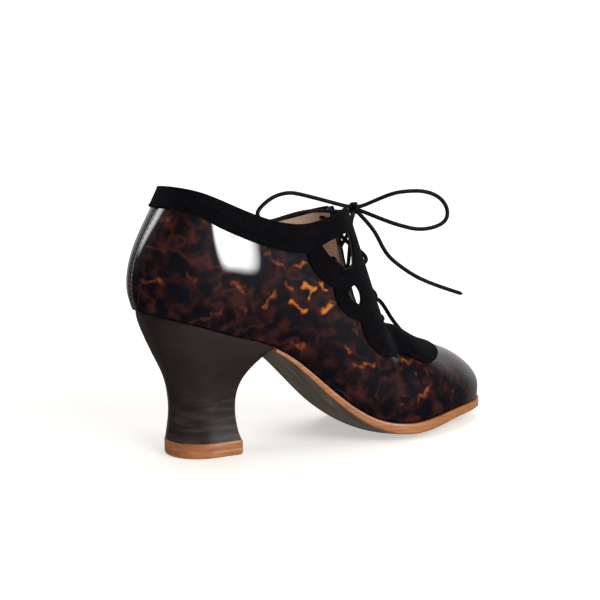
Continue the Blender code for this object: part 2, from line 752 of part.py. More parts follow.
def centre_on_floor():
    """Hangs everything on one empty, and moves that so the solids stand centred over the origin."""
    root = bpy.data.objects.new("root", None)
    bpy.context.scene.collection.objects.link(root)
    pieces = [piece for piece in bpy.data.objects if piece is not root]
    graph = bpy.context.evaluated_depsgraph_get()
    low, high = np.full(3, np.inf), np.full(3, -np.inf)
    for piece in pieces:
        if piece.type != "MESH" or piece.hide_render:
            continue
        corners = np.array([vertex.co for vertex in piece.evaluated_get(graph).data.vertices])
        low, high = np.minimum(low, corners.min(0)), np.maximum(high, corners.max(0))
    for piece in pieces:
        piece.parent = root
    root.location = (-(low[0] + high[0]) / 2, -(low[1] + high[1]) / 2, 0.0)


def main():
    for item in list(bpy.data.objects):
        bpy.data.objects.remove(item)
    patent = material("patent_leather", (0.05, 0.02, 0.012), 0.12)
    suede = material("black_suede", (0.004, 0.004, 0.005), 0.95)
    lining = material("lining_leather", (0.60, 0.36, 0.26), 0.6)
    tan = material("sole_leather", (0.53, 0.20, 0.06), 0.55)
    paint = material("heel_paint", (0.024, 0.016, 0.013), 0.4)
    waxed = material("waxed_lace", (0.006, 0.006, 0.007), 0.45)

    slot = hidden_cutter(slot_cutter())
    holes = hidden_cutter(eyelet_cutter())
    upper_hole = hidden_cutter(side_prism("upper_cutout", bowed_outline(UPPER_CUTOUT)))
    lower_hole = hidden_cutter(side_prism("lower_cutout", bowed_outline(LOWER_CUTOUT)))
    pattern = hidden_cutter(side_prism("suede_pattern", suede_outline(), COLLAR_TILT))

    upper = shell("upper", offset_grid(0.0), offset_grid(WALL), patent)
    facing = shell("suede_facing", offset_grid(WALL + GAP), offset_grid(WALL + GAP + SUEDE), suede)
    cut(facing, pattern, "INTERSECT")
    for piece in (upper, facing):
        for tool in (slot, upper_hole, lower_hole, holes):
            cut(piece, tool)

    insole(lining)
    outsole(tan)
    heel_block(paint)
    top_lift(tan)

    lace_crossings(waxed)
    lace_knot(waxed)
    cord("lace_loop_front", FRONT_LOOP, waxed)
    cord("lace_loop_back", BACK_LOOP, waxed)
    cord("lace_end_near", NEAR_END, waxed)
    cord("lace_end_far", FAR_END, waxed)
    centre_on_floor()


main()
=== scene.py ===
# %% [markdown]
# # A laced flamenco shoe in patent leather and suede
# The solids of the shoe are already made and stand in their places: upper, suede facing, insole, sole,
# heel, lift and lace. This lesson gives them their looks. It starts with what the camera sees, because
# every later choice, from the size of a stitch to the place of a reflection, is judged in that view.

# %% Load the solids
import math
from collections import namedtuple

import bmesh
import bpy
import numpy as np
from mathutils import Matrix, Vector
from mathutils.bvhtree import BVHTree


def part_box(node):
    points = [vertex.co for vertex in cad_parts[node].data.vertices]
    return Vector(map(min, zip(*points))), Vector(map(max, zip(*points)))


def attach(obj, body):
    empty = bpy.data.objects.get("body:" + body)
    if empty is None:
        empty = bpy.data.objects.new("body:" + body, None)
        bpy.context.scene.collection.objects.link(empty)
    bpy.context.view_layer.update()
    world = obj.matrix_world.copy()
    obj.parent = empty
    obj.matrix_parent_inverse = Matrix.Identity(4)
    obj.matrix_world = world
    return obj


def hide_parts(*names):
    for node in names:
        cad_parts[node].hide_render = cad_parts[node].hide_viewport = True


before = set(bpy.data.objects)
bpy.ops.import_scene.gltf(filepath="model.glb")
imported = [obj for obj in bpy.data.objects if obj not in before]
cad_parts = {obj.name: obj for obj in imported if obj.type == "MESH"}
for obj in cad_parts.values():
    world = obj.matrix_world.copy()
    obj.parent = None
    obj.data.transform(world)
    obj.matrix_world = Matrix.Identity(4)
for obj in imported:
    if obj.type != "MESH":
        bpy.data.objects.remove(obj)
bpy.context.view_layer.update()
print("solids:", ", ".join(sorted(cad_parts)))

# %% [markdown]
# ## One ruler for everything
# The solids were drawn with the back of the heel at x = 0 and then moved so that the shoe stands over the
# origin. The lift shows how far they moved, so everything below is worked out from the heel's back too
# and shifted by the same amount when its mesh is made. No piece has to be moved into place.

# %% Where the heel's back lies
LIFT_BACK = 0.0177
lift_low, lift_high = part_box("top_lift")
SHIFT = np.array([lift_low.x - LIFT_BACK, (lift_low.y + lift_high.y) / 2, 0.0])
print("the heel's back is at x =", round(SHIFT[0], 4))

# %% [markdown]
# ## The camera
# The picture is taken from the outer side and a little behind, at a low angle, with a long lens. A camera
# in Blender looks along its own -Z, so its three axes are worked out as vectors and written into its
# matrix. That is surer than turning it by three angles, and the slight roll of the picture is one more
# turn of two axes.

# %% Camera at the photograph's angle
VIEW_BEHIND = math.radians(29.0)
VIEW_ABOVE = math.radians(10.0)
VIEW_ROLL = math.radians(-0.6)
VIEW_DISTANCE = 1.0264
VIEW_TARGET = np.array([0.0992, 0.0, 0.0764])
FOCAL_PIXELS = 1873
PICTURE_PIXELS = 600
SENSOR = 36.0


def camera_axes():
    """Right, up and back of the camera, as unit vectors."""
    flat = math.cos(VIEW_ABOVE)
    back = np.array([-math.sin(VIEW_BEHIND) * flat, -math.cos(VIEW_BEHIND) * flat, math.sin(VIEW_ABOVE)])
    level = np.array([math.cos(VIEW_BEHIND), -math.sin(VIEW_BEHIND), 0.0])
    upright = np.cross(back, level)
    right = level * math.cos(VIEW_ROLL) + upright * math.sin(VIEW_ROLL)
    up = upright * math.cos(VIEW_ROLL) - level * math.sin(VIEW_ROLL)
    return right, up, back


camera_data = bpy.data.cameras.new("portrait_camera")
camera_data.sensor_width = SENSOR
camera_data.lens = SENSOR * (FOCAL_PIXELS / PICTURE_PIXELS)
camera = bpy.data.objects.new("portrait_camera", camera_data)
bpy.context.scene.collection.objects.link(camera)
right, up, back = camera_axes()
eye = VIEW_TARGET + SHIFT + back * VIEW_DISTANCE
camera.matrix_world = Matrix(np.column_stack([right, up, back, eye]).tolist() + [[0, 0, 0, 1]])
bpy.context.scene.camera = camera
print("camera lens", round(camera_data.lens, 1), "mm, height", round(eye[2], 3), "m")

# %% [markdown]
# ## The last
# A shoe is built round a last, a model of the foot. Here the last is a table with a row for each section:
# the height of the feather edge and of the crest, the widths at the sole and at the fullest line, and how
# quickly the wall leans in. A smooth curve runs through each column. The same table shaped the solids, so
# a finer mesh drawn from it has the same form, only without flat facets, and patent leather needs that: a
# mirror shows every facet.

# %% Sizes of the last
LENGTH = 0.2127
BALL_WIDTH = 0.0785
HEEL_HEIGHT = 0.0804
INSTEP_HEIGHT = 0.1293
HALF_BALL = BALL_WIDTH / 2
WALL = 0.0016
SUEDE = 0.0010
GAP = 0.0003
LIFT_HEIGHT = 0.0080
LACE_DIAMETER = 0.00225

Section = namedtuple("Section", "along base crest foot_in foot_out wide_in wide_out bulge taper")
SECTIONS = [
    Section(0.000, 1.000, 1.59, 0.60, 0.61, 0.70, 0.72, 0.33, 2.30),
    Section(0.139, 0.888, 1.53, 0.58, 0.61, 0.69, 0.71, 0.44, 2.30),
    Section(0.222, 0.812, 1.48, 0.53, 0.60, 0.66, 0.71, 0.52, 2.15),
    Section(0.305, 0.742, 1.43, 0.47, 0.61, 0.63, 0.73, 0.52, 1.95),
    Section(0.400, 0.588, 1.35, 0.43, 0.65, 0.61, 0.78, 0.51, 1.80),
    Section(0.485, 0.378, 1.23, 0.49, 0.76, 0.68, 0.87, 0.47, 1.75),
    Section(0.570, 0.205, 1.07, 0.69, 0.87, 0.82, 0.95, 0.39, 2.00),
    Section(0.620, 0.146, 0.825, 0.81, 0.93, 0.89, 0.98, 0.34, 2.30),
    Section(0.660, 0.124, 0.560, 0.89, 0.97, 0.95, 1.00, 0.30, 2.10),
    Section(0.712, 0.117, 0.450, 0.95, 0.98, 0.99, 1.00, 0.26, 1.30),
    Section(0.786, 0.134, 0.374, 0.94, 0.92, 0.95, 0.94, 0.23, 0.95),
    Section(0.860, 0.145, 0.325, 0.86, 0.81, 0.87, 0.82, 0.21, 0.88),
    Section(1.000, 0.138, 0.250, 0.78, 0.74, 0.79, 0.75, 0.16, 0.85),
]
HEEL_ROUND, HEEL_SQUARE, HEEL_PIVOT, HEEL_LEAN, HEEL_INSET = 0.277, 4.0, 0.139, 11.0, 0.012
TOE_ROUND, TOE_SQUARE, TOE_LEAD, TOE_LEAN, TOE_INSET = 0.740, 2.5, 0.120, 0.95, 0.002
TOE_SWING, SWING_FROM = 0.080, 0.500
print(len(SECTIONS), "sections along", round(LENGTH * 1000), "mm")

# %% [markdown]
# ## Curves through a table
# A natural cubic spline passes through every row and bends as little as it can. Blender has splines of
# its own, but here the value is wanted at any place along the foot, in numbers, so the few lines of
# algebra are written out with numpy.

# %% Splines through the columns


def spline(table, column):
    """Natural cubic spline through one column of a table, as a function of its first column."""
    xs = np.array([row[0] for row in table], float)
    ys = np.array([getattr(row, column) for row in table], float)
    step = np.diff(xs)
    count = len(xs)
    matrix = np.eye(count)
    right_side = np.zeros(count)
    for i in range(1, count - 1):
        matrix[i, i - 1:i + 2] = step[i - 1], 2 * (step[i - 1] + step[i]), step[i]
        right_side[i] = 6 * ((ys[i + 1] - ys[i]) / step[i] - (ys[i] - ys[i - 1]) / step[i - 1])
    bend = np.linalg.solve(matrix, right_side)

    def value(x):
        x = np.clip(x, xs[0], xs[-1])
        i = np.clip(np.searchsorted(xs, x) - 1, 0, count - 2)
        h = step[i]
        a = (xs[i + 1] - x) / h
        b = (x - xs[i]) / h
        curve = (a ** 3 - a) * bend[i] + (b ** 3 - b) * bend[i + 1]
        return a * ys[i] + b * ys[i + 1] + curve * h * h / 6

    return value


LAST = {name: spline(SECTIONS, name) for name in Section._fields[1:]}


def base_height(x):
    """Height of the feather edge, where the upper meets the sole."""
    return HEEL_HEIGHT * LAST["base"](x / LENGTH)


def crest_height(x):
    """Height of the ridge that the two sides of the last run up to."""
    return INSTEP_HEIGHT * LAST["crest"](x / LENGTH)


def axis_y(x):
    """The middle line of the last swings inwards at the toe."""
    return HALF_BALL * TOE_SWING * np.clip((x / LENGTH - SWING_FROM) / (1 - SWING_FROM), 0, 1) ** 2


print("instep crest at the throat", round(float(crest_height(0.6 * LENGTH)) * 1000), "mm")

# %% [markdown]
# ## The collar edge
# Seen from the side the collar dips under the ankle and rises to the throat. It also lies a few
# millimetres lower on the inner side of the foot, so its height depends on the place across the shoe as
# well.

# %% Collar edge
Edge = namedtuple("Edge", "along rise")
TOPLINE = [
    Edge(0.023, 1.120),
    Edge(0.097, 1.117),
    Edge(0.157, 1.083),
    Edge(0.217, 1.036),
    Edge(0.296, 0.978),
    Edge(0.374, 0.941),
    Edge(0.425, 0.935),
    Edge(0.467, 0.943),
    Edge(0.527, 0.962),
    Edge(0.583, 0.985),
    Edge(0.647, 1.010),
]
COLLAR_TILT = 0.070
COLLAR_LEVEL = -0.620
COLLAR = spline(TOPLINE, "rise")


def collar_height(x, y):
    """Height of the collar edge over a point of the plan."""
    return INSTEP_HEIGHT * COLLAR(x / LENGTH) - COLLAR_TILT * (y - COLLAR_LEVEL * HALF_BALL)


print("collar at the back", round(float(collar_height(0.0, 0.0)) * 1000), "mm high")

# %% [markdown]
# ## Walls of the last
# Each wall starts at the feather edge, swells to the fullest line of the foot and then leans in towards
# the crest. At the heel and the toe the plan closes in a round end, and there the walls also lean
# forwards or back. The walls are put side by side as a grid of points that runs once round the shoe.

# %% A fine grid round the last


def end_rounding(along):
    """Factor on the half widths that closes the plan at the heel and at the toe."""
    heel = np.clip((HEEL_ROUND - along) / HEEL_ROUND, 0, 1)
    toe = np.clip((along - TOE_ROUND) / (1 - TOE_ROUND), 0, 1)
    return np.sqrt(np.clip((1 - heel ** HEEL_SQUARE) * (1 - toe ** TOE_SQUARE), 0, 1))


def plan_point(along, side, kind):
    """Point of the foot outline or of the widest outline; side is +1 inside and -1 outside."""
    start = HEEL_INSET if kind == "foot" else 0.0
    end = 1 - TOE_INSET if kind == "foot" else 1.0
    x = LENGTH * (start + along * (end - start))
    column = kind + ("_in" if side > 0 else "_out")
    y = HALF_BALL * LAST[column](along) * end_rounding(along)
    return x, axis_y(x) + side * y


def pivot_x(along):
    """Where on the middle line a wall aims: ahead of it at the heel, behind it at the toe."""
    heel = np.clip((HEEL_ROUND - along) / HEEL_ROUND, 0, 1)
    toe = np.clip((along - TOE_ROUND) / (1 - TOE_ROUND), 0, 1)
    return LENGTH * (along + HEEL_PIVOT * heel ** 2 - TOE_LEAD * toe ** 2)


def points_at(x, y, z):
    """Points from three coordinates, each a number or an array."""
    return np.stack(np.broadcast_arrays(x, y, z), 1)


def wall(along, side, low_count=40, high_count=360):
    """Points up one wall of the last, from the feather edge to the crest."""
    foot_x, foot_y = plan_point(along, side, "foot")
    wide_x, wide_y = plan_point(along, side, "wide")
    pivot = pivot_x(along)
    middle = axis_y(pivot)
    base = base_height(foot_x)
    bulge = HALF_BALL * LAST["bulge"](along)
    lean = HEEL_LEAN if along < HEEL_ROUND else TOE_LEAN
    low = np.linspace(0, 1, low_count, endpoint=False)
    out = np.sin(low * math.pi / 2)
    lower = points_at(foot_x + (wide_x - foot_x) * out, foot_y + (wide_y - foot_y) * out, base + bulge * low)
    angle = np.linspace(0, math.pi / 2, high_count)
    shrink = np.clip(np.cos(angle), 0, 1)
    shrink[-1] = 0.0
    x = pivot + (wide_x - pivot) * shrink ** lean
    y = middle + (wide_y - middle) * shrink ** LAST["taper"](along)
    nudge = LENGTH * 0.001
    slope = (crest_height(pivot + nudge) - crest_height(pivot - nudge)) / (2 * nudge)
    z = base + bulge + (crest_height(pivot) - base - bulge + slope * (x - pivot)) * np.sin(angle)
    return np.concatenate([lower, points_at(x, y, z)])


def trim_at_collar(points):
    """The part of a wall below the collar edge, and whether it still reaches the crest."""
    above = points[:, 2] - collar_height(points[:, 0], points[:, 1])
    over = np.nonzero(above > 0)[0]
    if len(over) == 0:
        return points, True
    i = over[0]
    share = above[i - 1] / (above[i - 1] - above[i])
    last = points[i - 1] + share * (points[i] - points[i - 1])
    return np.vstack([points[:i], last]), False


def unit(vectors):
    """Vectors scaled to a length of 1."""
    return vectors / np.linalg.norm(vectors, axis=-1, keepdims=True)


def steps(line):
    """Distance from each point of a line to the next."""
    return np.linalg.norm(np.diff(line, axis=0), axis=1)


def running_sum(values):
    """The sum of the values so far, from 0."""
    return np.concatenate([[0], np.cumsum(values)])


def even_steps(points, count):
    """The same line with a number of points at equal distances."""
    reach = running_sum(steps(points))
    want = np.linspace(0, reach[-1], count)
    return np.stack([np.interp(want, reach, points[:, k]) for k in range(3)], 1)


def stations(heel_steps=44, middle_steps=84, toe_steps=56):
    """Shares of the length at which the last is cut into sections, closer together at its round ends."""
    heel = HEEL_ROUND * (1 - np.sin(np.linspace(math.pi / 2, 0, heel_steps, endpoint=False)))
    middle = np.linspace(HEEL_ROUND, TOE_ROUND, middle_steps, endpoint=False)
    toe = TOE_ROUND + (1 - TOE_ROUND) * np.sin(np.linspace(0, math.pi / 2, toe_steps))
    return np.concatenate([heel, middle, toe])


def last_grid(levels=72):
    """Grid of points round the last, and which of its columns reach the crest."""
    shares = stations()
    ring = [(along, -1) for along in shares] + [(along, 1) for along in shares[-2:0:-1]]
    columns = []
    closed = []
    for along, side in ring:
        points, whole = trim_at_collar(wall(along, side))
        columns.append(even_steps(points, levels))
        closed.append(whole)
    return np.array(columns), np.array(closed)


def grid_normals(grid, closed):
    """Outward direction at each point of the grid; columns that meet on the crest share theirs."""
    following = np.roll(grid, -1, axis=0)
    facing = np.cross(following[:, 1:] - grid[:, :-1], grid[:, 1:] - following[:, :-1])
    around = facing + np.roll(facing, 1, axis=0)
    normal = np.zeros_like(grid)
    normal[:, :-1] += around
    normal[:, 1:] += around
    partner = -np.arange(len(grid)) % len(grid)
    normal[closed, -1] += normal[partner[closed], -1]
    return unit(normal)


GRID, CLOSED = last_grid()
NORMALS = grid_normals(GRID, CLOSED)
print("last grid:", GRID.shape[0], "walls of", GRID.shape[1], "points")

# %% [markdown]
# ## Creases
# Soft leather takes a few creases where the foot bends: across the vamp beside the facing, where the quarter
# turns into the waist, and at the back. They are placed as short lines on the side view, each a shallow
# trough with a low ridge beside it, and the points of the last are moved along their normals. Patent leather
# shows them as bent reflections, so a quarter of a millimetre is enough. The quarters also swell a little
# over the ankle.

# %% Creases pressed into the last
Crease = namedtuple("Crease", "side along rise end_along end_rise depth width")
CREASES = [
    Crease(-1, 0.640, 0.330, 0.700, 0.225, 0.00028, 0.0022),
    Crease(-1, 0.600, 0.300, 0.655, 0.190, 0.00022, 0.0026),
    Crease(-1, 0.430, 0.440, 0.500, 0.330, 0.00018, 0.0034),
    Crease(-1, 0.075, 0.800, 0.120, 0.690, 0.00015, 0.0040),
    Crease(1, 0.645, 0.320, 0.690, 0.200, 0.00030, 0.0022),
    Crease(1, 0.600, 0.290, 0.640, 0.180, 0.00024, 0.0026),
    Crease(1, 0.450, 0.470, 0.500, 0.340, 0.00020, 0.0034),
]


def side_point(along, rise):
    """A point of an outline drawn on the side view."""
    return np.array([LENGTH * along, INSTEP_HEIGHT * rise])


def off_line(flat, start, end):
    """How far points of the side view lie from a line, and the share of the line that they lie beside."""
    run = end - start
    share = np.clip((flat - start) @ run / (run @ run), 0, 1)
    return np.linalg.norm(flat - start - share[..., None] * run, axis=-1), share


RIDGE_SHARE = 0.45
RIDGE_AWAY = 1.9


def crease_depth(points):
    """How far each point is pressed in: a trough and a ridge along each crease, fading at its ends."""
    depth = np.zeros(points.shape[:-1])
    for crease in CREASES:
        start, end = side_point(crease.along, crease.rise), side_point(crease.end_along, crease.end_rise)
        off, share = off_line(points[..., [0, 2]], start, end)
        away = off / crease.width
        fade = np.sin(np.pi * np.clip(share, 0.02, 0.98)) ** 0.5
        profile = np.exp(-away ** 2) - RIDGE_SHARE * np.exp(-(away - RIDGE_AWAY) ** 2)
        depth += (points[..., 1] * crease.side > 0) * crease.depth * fade * profile
    return depth


Swell = namedtuple("Swell", "side along rise height width")
SWELLS = [Swell(-1, 0.290, 0.720, 0.0010, 0.025), Swell(1, 0.290, 0.720, 0.0005, 0.025)]


def swell_height(points):
    """How far the quarters stand fuller over the ankle, as low round mounds."""
    height = np.zeros(points.shape[:-1])
    for swell in SWELLS:
        off = points[..., [0, 2]] - side_point(swell.along, swell.rise)
        away = np.linalg.norm(off, axis=-1) / swell.width
        height += (points[..., 1] * swell.side > 0) * swell.height * np.exp(-away ** 2)
    return height


PRESSED = GRID + NORMALS * (swell_height(GRID) - crease_depth(GRID))[..., None]


def offset_grid(distance):
    """The last's grid moved outwards, with its bottom edge kept on the feather edge."""
    moved = PRESSED + NORMALS * distance
    moved[:, 0, 2] = base_height(moved[:, 0, 0])
    return moved


print("deepest crease", round(float(crease_depth(GRID).max()) * 1000, 2), "mm")

# %% [markdown]
# ## Making a piece
# Every piece below goes through the same few steps: a mesh from points and faces, welded and turned to
# face outwards, shaded smooth but with its sharp edges kept, and then tied to the frame. A piece that
# stands for a solid says so, which hides the plain solid.

# %% Helpers that make a piece
SHARP = 38
WELD = 2e-6


def make_piece(name, points, faces, finishes, slots=None, weld=False, sharp=SHARP):
    """A mesh object in the shoe's frame; slots gives each face its finish."""
    mesh = bpy.data.meshes.new(name)
    mesh.from_pydata((np.asarray(points) + SHIFT).tolist(), [], faces)
    for finish in finishes:
        mesh.materials.append(finish)
    if slots is not None:
        mesh.polygons.foreach_set("material_index", np.asarray(slots, np.int32))
    if weld:
        shape = bmesh.new()
        shape.from_mesh(mesh)
        bmesh.ops.remove_doubles(shape, verts=shape.verts, dist=WELD)
        bmesh.ops.recalc_face_normals(shape, faces=shape.faces)
        shape.to_mesh(mesh)
        shape.free()
    mesh.shade_smooth()
    mesh.set_sharp_from_angle(angle=math.radians(sharp))
    piece = bpy.data.objects.new(name, mesh)
    bpy.context.scene.collection.objects.link(piece)
    return piece


def tie(piece, slot, *nodes):
    """The piece moves with the shoe and stands for some solids, which it hides; slot is not used."""
    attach(piece, "root")
    if nodes:
        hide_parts(*nodes)
    print(piece.name, len(piece.data.polygons), "faces")
    return piece


def loft(rings):
    """Points and faces of a skin through rings of equal length, closed at both ends."""
    count = len(rings[0])
    points = np.concatenate(rings)
    faces = []
    for i in range(len(rings) - 1):
        for j in range(count):
            k = (j + 1) % count
            faces.append([i * count + j, i * count + k, (i + 1) * count + k, (i + 1) * count + j])
    faces.append(list(range(count))[::-1])
    faces.append(list(range(len(points) - count, len(points))))
    return points, faces


print("piece helpers ready")

# %% [markdown]
# ## Building a finish from nodes
# Each finish is a Principled shader with a small network of textures in front of it. A few helpers keep
# that short: one starts a finish with its constant sockets, one adds a node and connects what it is
# given, and the rest name the nodes that come up again and again.

# %% Helpers that make a finish


def start_finish(name, **sockets):
    """A new material, its node tree and its shader; underscores in socket names stand for spaces."""
    finish = bpy.data.materials.new(name)
    finish.use_nodes = True
    shader = finish.node_tree.nodes["Principled BSDF"]
    for socket, value in sockets.items():
        shader.inputs[socket.replace("_", " ")].default_value = value
    return finish, finish.node_tree, shader


def add(tree, kind, settings=None, **inputs):
    """A shader node; an input, by its name or as i and its index, is a value or another node's output."""
    node = tree.nodes.new("ShaderNode" + kind)
    for key, value in (settings or {}).items():
        setattr(node, key, value)
    for key, value in inputs.items():
        numbered = key[0] == "i" and key[1:].isdigit()
        socket = node.inputs[int(key[1:]) if numbered else key.replace("_", " ")]
        if isinstance(value, bpy.types.NodeSocket):
            tree.links.new(value, socket)
        else:
            socket.default_value = value
    return node


def noise(tree, place, scale, detail=2.0, rough=0.5, output="Fac"):
    """A noise texture; its scale is in features to the metre."""
    node = add(tree, "TexNoise", Vector=place, Scale=scale, Detail=detail, Roughness=rough)
    return node.outputs[output]


def axes(tree, vector):
    """The three parts of a vector."""
    return add(tree, "SeparateXYZ", Vector=vector).outputs


def ramp(tree, value, stops):
    """A colour ramp from a list of (place, colour)."""
    node = add(tree, "ValToRGB", Fac=value)
    band = node.color_ramp
    while len(band.elements) < len(stops):
        band.elements.new(1.0)
    for element, (place, colour) in zip(band.elements, stops):
        element.position = place
        element.color = (*colour, 1.0)
    return node.outputs["Color"]


def between(tree, value, low, high, out_low=0.0, out_high=1.0):
    """A value mapped from one range to another, clamped."""
    node = add(tree, "MapRange", Value=value, From_Min=low, From_Max=high, To_Min=out_low, To_Max=out_high)
    return node.outputs["Result"]


def maths(tree, operation, a, b=0.0):
    """One step of arithmetic."""
    return add(tree, "Math", {"operation": operation}, i0=a, i1=b).outputs[0]


def blend_colour(tree, share, a, b, mode="MIX"):
    """One colour over another by a share."""
    settings = {"data_type": "RGBA", "blend_type": mode}
    return add(tree, "Mix", settings, i0=share, i6=a, i7=b).outputs[2]


def shoe_place(tree):
    """Coordinates in the shoe's own metres."""
    return add(tree, "TexCoord").outputs["Object"]


def bump(tree, shader, height, depth, strength=1.0):
    """Fine relief on a shader, its depth in metres."""
    node = add(tree, "Bump", Height=height, Strength=strength, Distance=depth)
    tree.links.new(node.outputs["Normal"], shader.inputs["Normal"])
    return node


def paint(tree, shader, colour):
    """A colour made by other nodes goes to the shader."""
    tree.links.new(colour, shader.inputs["Base Color"])


print("finish helpers ready")

# %% [markdown]
# ## Tortoiseshell patent
# The upper is patent leather printed like tortoiseshell: almost black brown with blue-black and plum islands,
# and amber strokes that glow as if light came from inside. The print lies under a clear lacquer, so the
# shader has a soft base and a hard, mirror-smooth coat. The amber follows a chart: a mesh attribute called
# amber is high near each charted stroke, and noise frays its edges. Fine veins and faint clouds fill the
# rest.

# %% Patent leather finish
DARK_BLUE = (0.0032, 0.0031, 0.0070)
DARK_BROWN = (0.0092, 0.0040, 0.0034)
DARK_PLUM = (0.0130, 0.0042, 0.0066)
MAROON = (0.0270, 0.0078, 0.0100)
BROWN = (0.0380, 0.0115, 0.0072)
EMBER = (0.1050, 0.0240, 0.0085)
AMBER = (0.320, 0.0880, 0.0095)
BRIGHT_AMBER = (0.480, 0.165, 0.022)
SEAM_PITCH = 0.0024
SEAM_FADE = (0.060, 0.050)
SEAM_GROOVE = 0.0009
SEAM_ROW = 0.0016
SEAM_THREAD = 0.0004
SEAM_DEPTH = 0.0006


def back_seam(tree, place):
    """Relief and shade of the seam down the middle of the back: a groove between two rows of stitches."""
    x, y, z = axes(tree, place)
    behind = between(tree, x, *(float(SHIFT[0]) + end for end in SEAM_FADE))
    off = maths(tree, "ABSOLUTE", maths(tree, "SUBTRACT", y, float(SHIFT[1])))
    groove = between(tree, off, 0.0, SEAM_GROOVE, -1.0, 0.0)
    beside = maths(tree, "ABSOLUTE", maths(tree, "SUBTRACT", off, SEAM_ROW))
    row = between(tree, beside, 0.0, SEAM_THREAD, 0.6, 0.0)
    wave = maths(tree, "SINE", maths(tree, "MULTIPLY", z, 2 * math.pi / SEAM_PITCH))
    dash = between(tree, wave, -0.1, 0.3)
    relief = maths(tree, "ADD", groove, maths(tree, "MULTIPLY", row, dash))
    shade = maths(tree, "ADD", maths(tree, "MULTIPLY", groove, maths(tree, "MULTIPLY", behind, 0.8)), 1.0)
    return maths(tree, "MULTIPLY", relief, behind), shade


# Scales of the print and of the lacquer's waves, in features to the metre, and how far the print wanders
ISLANDS, CLOUDS, VEINS, VEIN_PATCHES, FRAY, WAVES = 130, 50, 80, 60, 300, 38
WANDER = 0.0042
WAVE_DEPTH = 0.0005
FEATHER_SHADE_DARK, FEATHER_SHADE_CLEAR = 0.0004, 0.0013


def tortoiseshell():
    finish, tree, shader = start_finish("tortoiseshell_patent", Roughness=0.5, Specular_IOR_Level=0.05,
                                        Coat_Weight=1.0, Coat_Roughness=0.03, Coat_IOR=1.36)
    place = shoe_place(tree)
    drift = noise(tree, place, ISLANDS, 1, output="Color")
    settings = {"operation": "MULTIPLY_ADD"}
    wander = add(tree, "VectorMath", settings, i0=drift, i1=(WANDER, WANDER, WANDER), i2=place)
    swirl = wander.outputs["Vector"]
    islands = noise(tree, swirl, ISLANDS, 2, 0.45)
    ground = ramp(tree, islands, [(0.44, DARK_BLUE), (0.50, DARK_BROWN), (0.56, DARK_PLUM), (0.66, MAROON)])
    warm = between(tree, noise(tree, place, CLOUDS, 2), 0.44, 0.62, 0.0, 0.65)
    clouds = maths(tree, "MULTIPLY", warm, between(tree, islands, 0.50, 0.64))
    clouded = blend_colour(tree, clouds, ground, (*BROWN, 1.0))
    ridge = maths(tree, "SUBTRACT", noise(tree, swirl, VEINS, 1, 0.5), 0.5)
    vein = between(tree, maths(tree, "ABSOLUTE", ridge), 0.0, 0.060, 0.34, 0.0)
    patch = between(tree, noise(tree, place, VEIN_PATCHES, 2), 0.46, 0.60)
    veined = blend_colour(tree, maths(tree, "MULTIPLY", vein, patch), clouded, (*EMBER, 1.0))
    fray = maths(tree, "SUBTRACT", noise(tree, swirl, FRAY, 3, 0.55), 0.5)
    charted = add(tree, "Attribute", {"attribute_name": "amber"}).outputs["Fac"]
    heat = maths(tree, "ADD", charted, maths(tree, "MULTIPLY", fray, 0.7))
    share = between(tree, heat, 0.22, 0.50)
    strokes = ramp(tree, heat, [(0.25, BROWN), (0.48, EMBER), (0.68, AMBER), (0.95, BRIGHT_AMBER)])
    colour = blend_colour(tree, share, veined, strokes)
    # Painted shade: the colour is darkened in the seam's groove and in a narrow band along the feather edge,
    # where the upper turns under onto the sole.
    relief, shade = back_seam(tree, place)
    foot = add(tree, "Attribute", {"attribute_name": "foot"}).outputs["Fac"]
    feather = between(tree, foot, FEATHER_SHADE_DARK, FEATHER_SHADE_CLEAR, 0.2, 1.0)
    shaded = blend_colour(tree, 1.0, colour, maths(tree, "MULTIPLY", shade, feather), "MULTIPLY")
    paint(tree, shader, shaded)
    sewn = bump(tree, shader, relief, SEAM_DEPTH).outputs["Normal"]
    wave = noise(tree, place, WAVES, 1, 0.4)
    soft = add(tree, "Bump", Height=wave, Strength=0.25, Distance=WAVE_DEPTH, Normal=sewn)
    tree.links.new(soft.outputs["Normal"], shader.inputs["Coat Normal"])
    return finish


patent = tortoiseshell()
print("finish", patent.name)

# %% [markdown]
# ## Suede, lining and edge paint
# Suede drinks light: it is nearly black, fully rough, and its nap catches a little light at the rim,
# which the sheen sockets give. Fine noise moves the nap about. The lining is a smooth pinkish leather
# with faint grain, and the cut edges of the leather are painted black.

# %% Suede, lining and edge finishes


def black_suede():
    finish, tree, shader = start_finish("black_suede_nap", Roughness=1.0, Specular_IOR_Level=0.06,
                                        Sheen_Weight=0.03, Sheen_Roughness=0.5,
                                        Sheen_Tint=(0.50, 0.50, 0.58, 1.0))
    place = shoe_place(tree)
    nap = noise(tree, place, 240, 4, 0.7)
    brushed = noise(tree, place, 45, 2)
    dark = ramp(tree, nap, [(0.30, (0.0011, 0.0009, 0.0016)), (0.72, (0.0044, 0.0036, 0.0054))])
    shade = ramp(tree, brushed, [(0.35, (0.7, 0.7, 0.7)), (0.70, (1.25, 1.2, 1.25))])
    paint(tree, shader, blend_colour(tree, 1.0, dark, shade, "MULTIPLY"))
    bump(tree, shader, noise(tree, place, 1900, 3, 0.7), depth=0.00025, strength=0.8)
    return finish


def lining_leather():
    finish, tree, shader = start_finish("lining_leather_smooth", Roughness=0.62)
    place = shoe_place(tree)
    cloud = noise(tree, place, 55, 3)
    colour = ramp(tree, cloud, [(0.30, (0.62, 0.44, 0.34)), (0.70, (0.78, 0.60, 0.49))])
    paint(tree, shader, colour)
    cells = add(tree, "TexVoronoi", {"feature": "DISTANCE_TO_EDGE"}, Vector=place, Scale=900.0)
    bump(tree, shader, cells.outputs["Distance"], depth=0.00015, strength=0.35)
    return finish


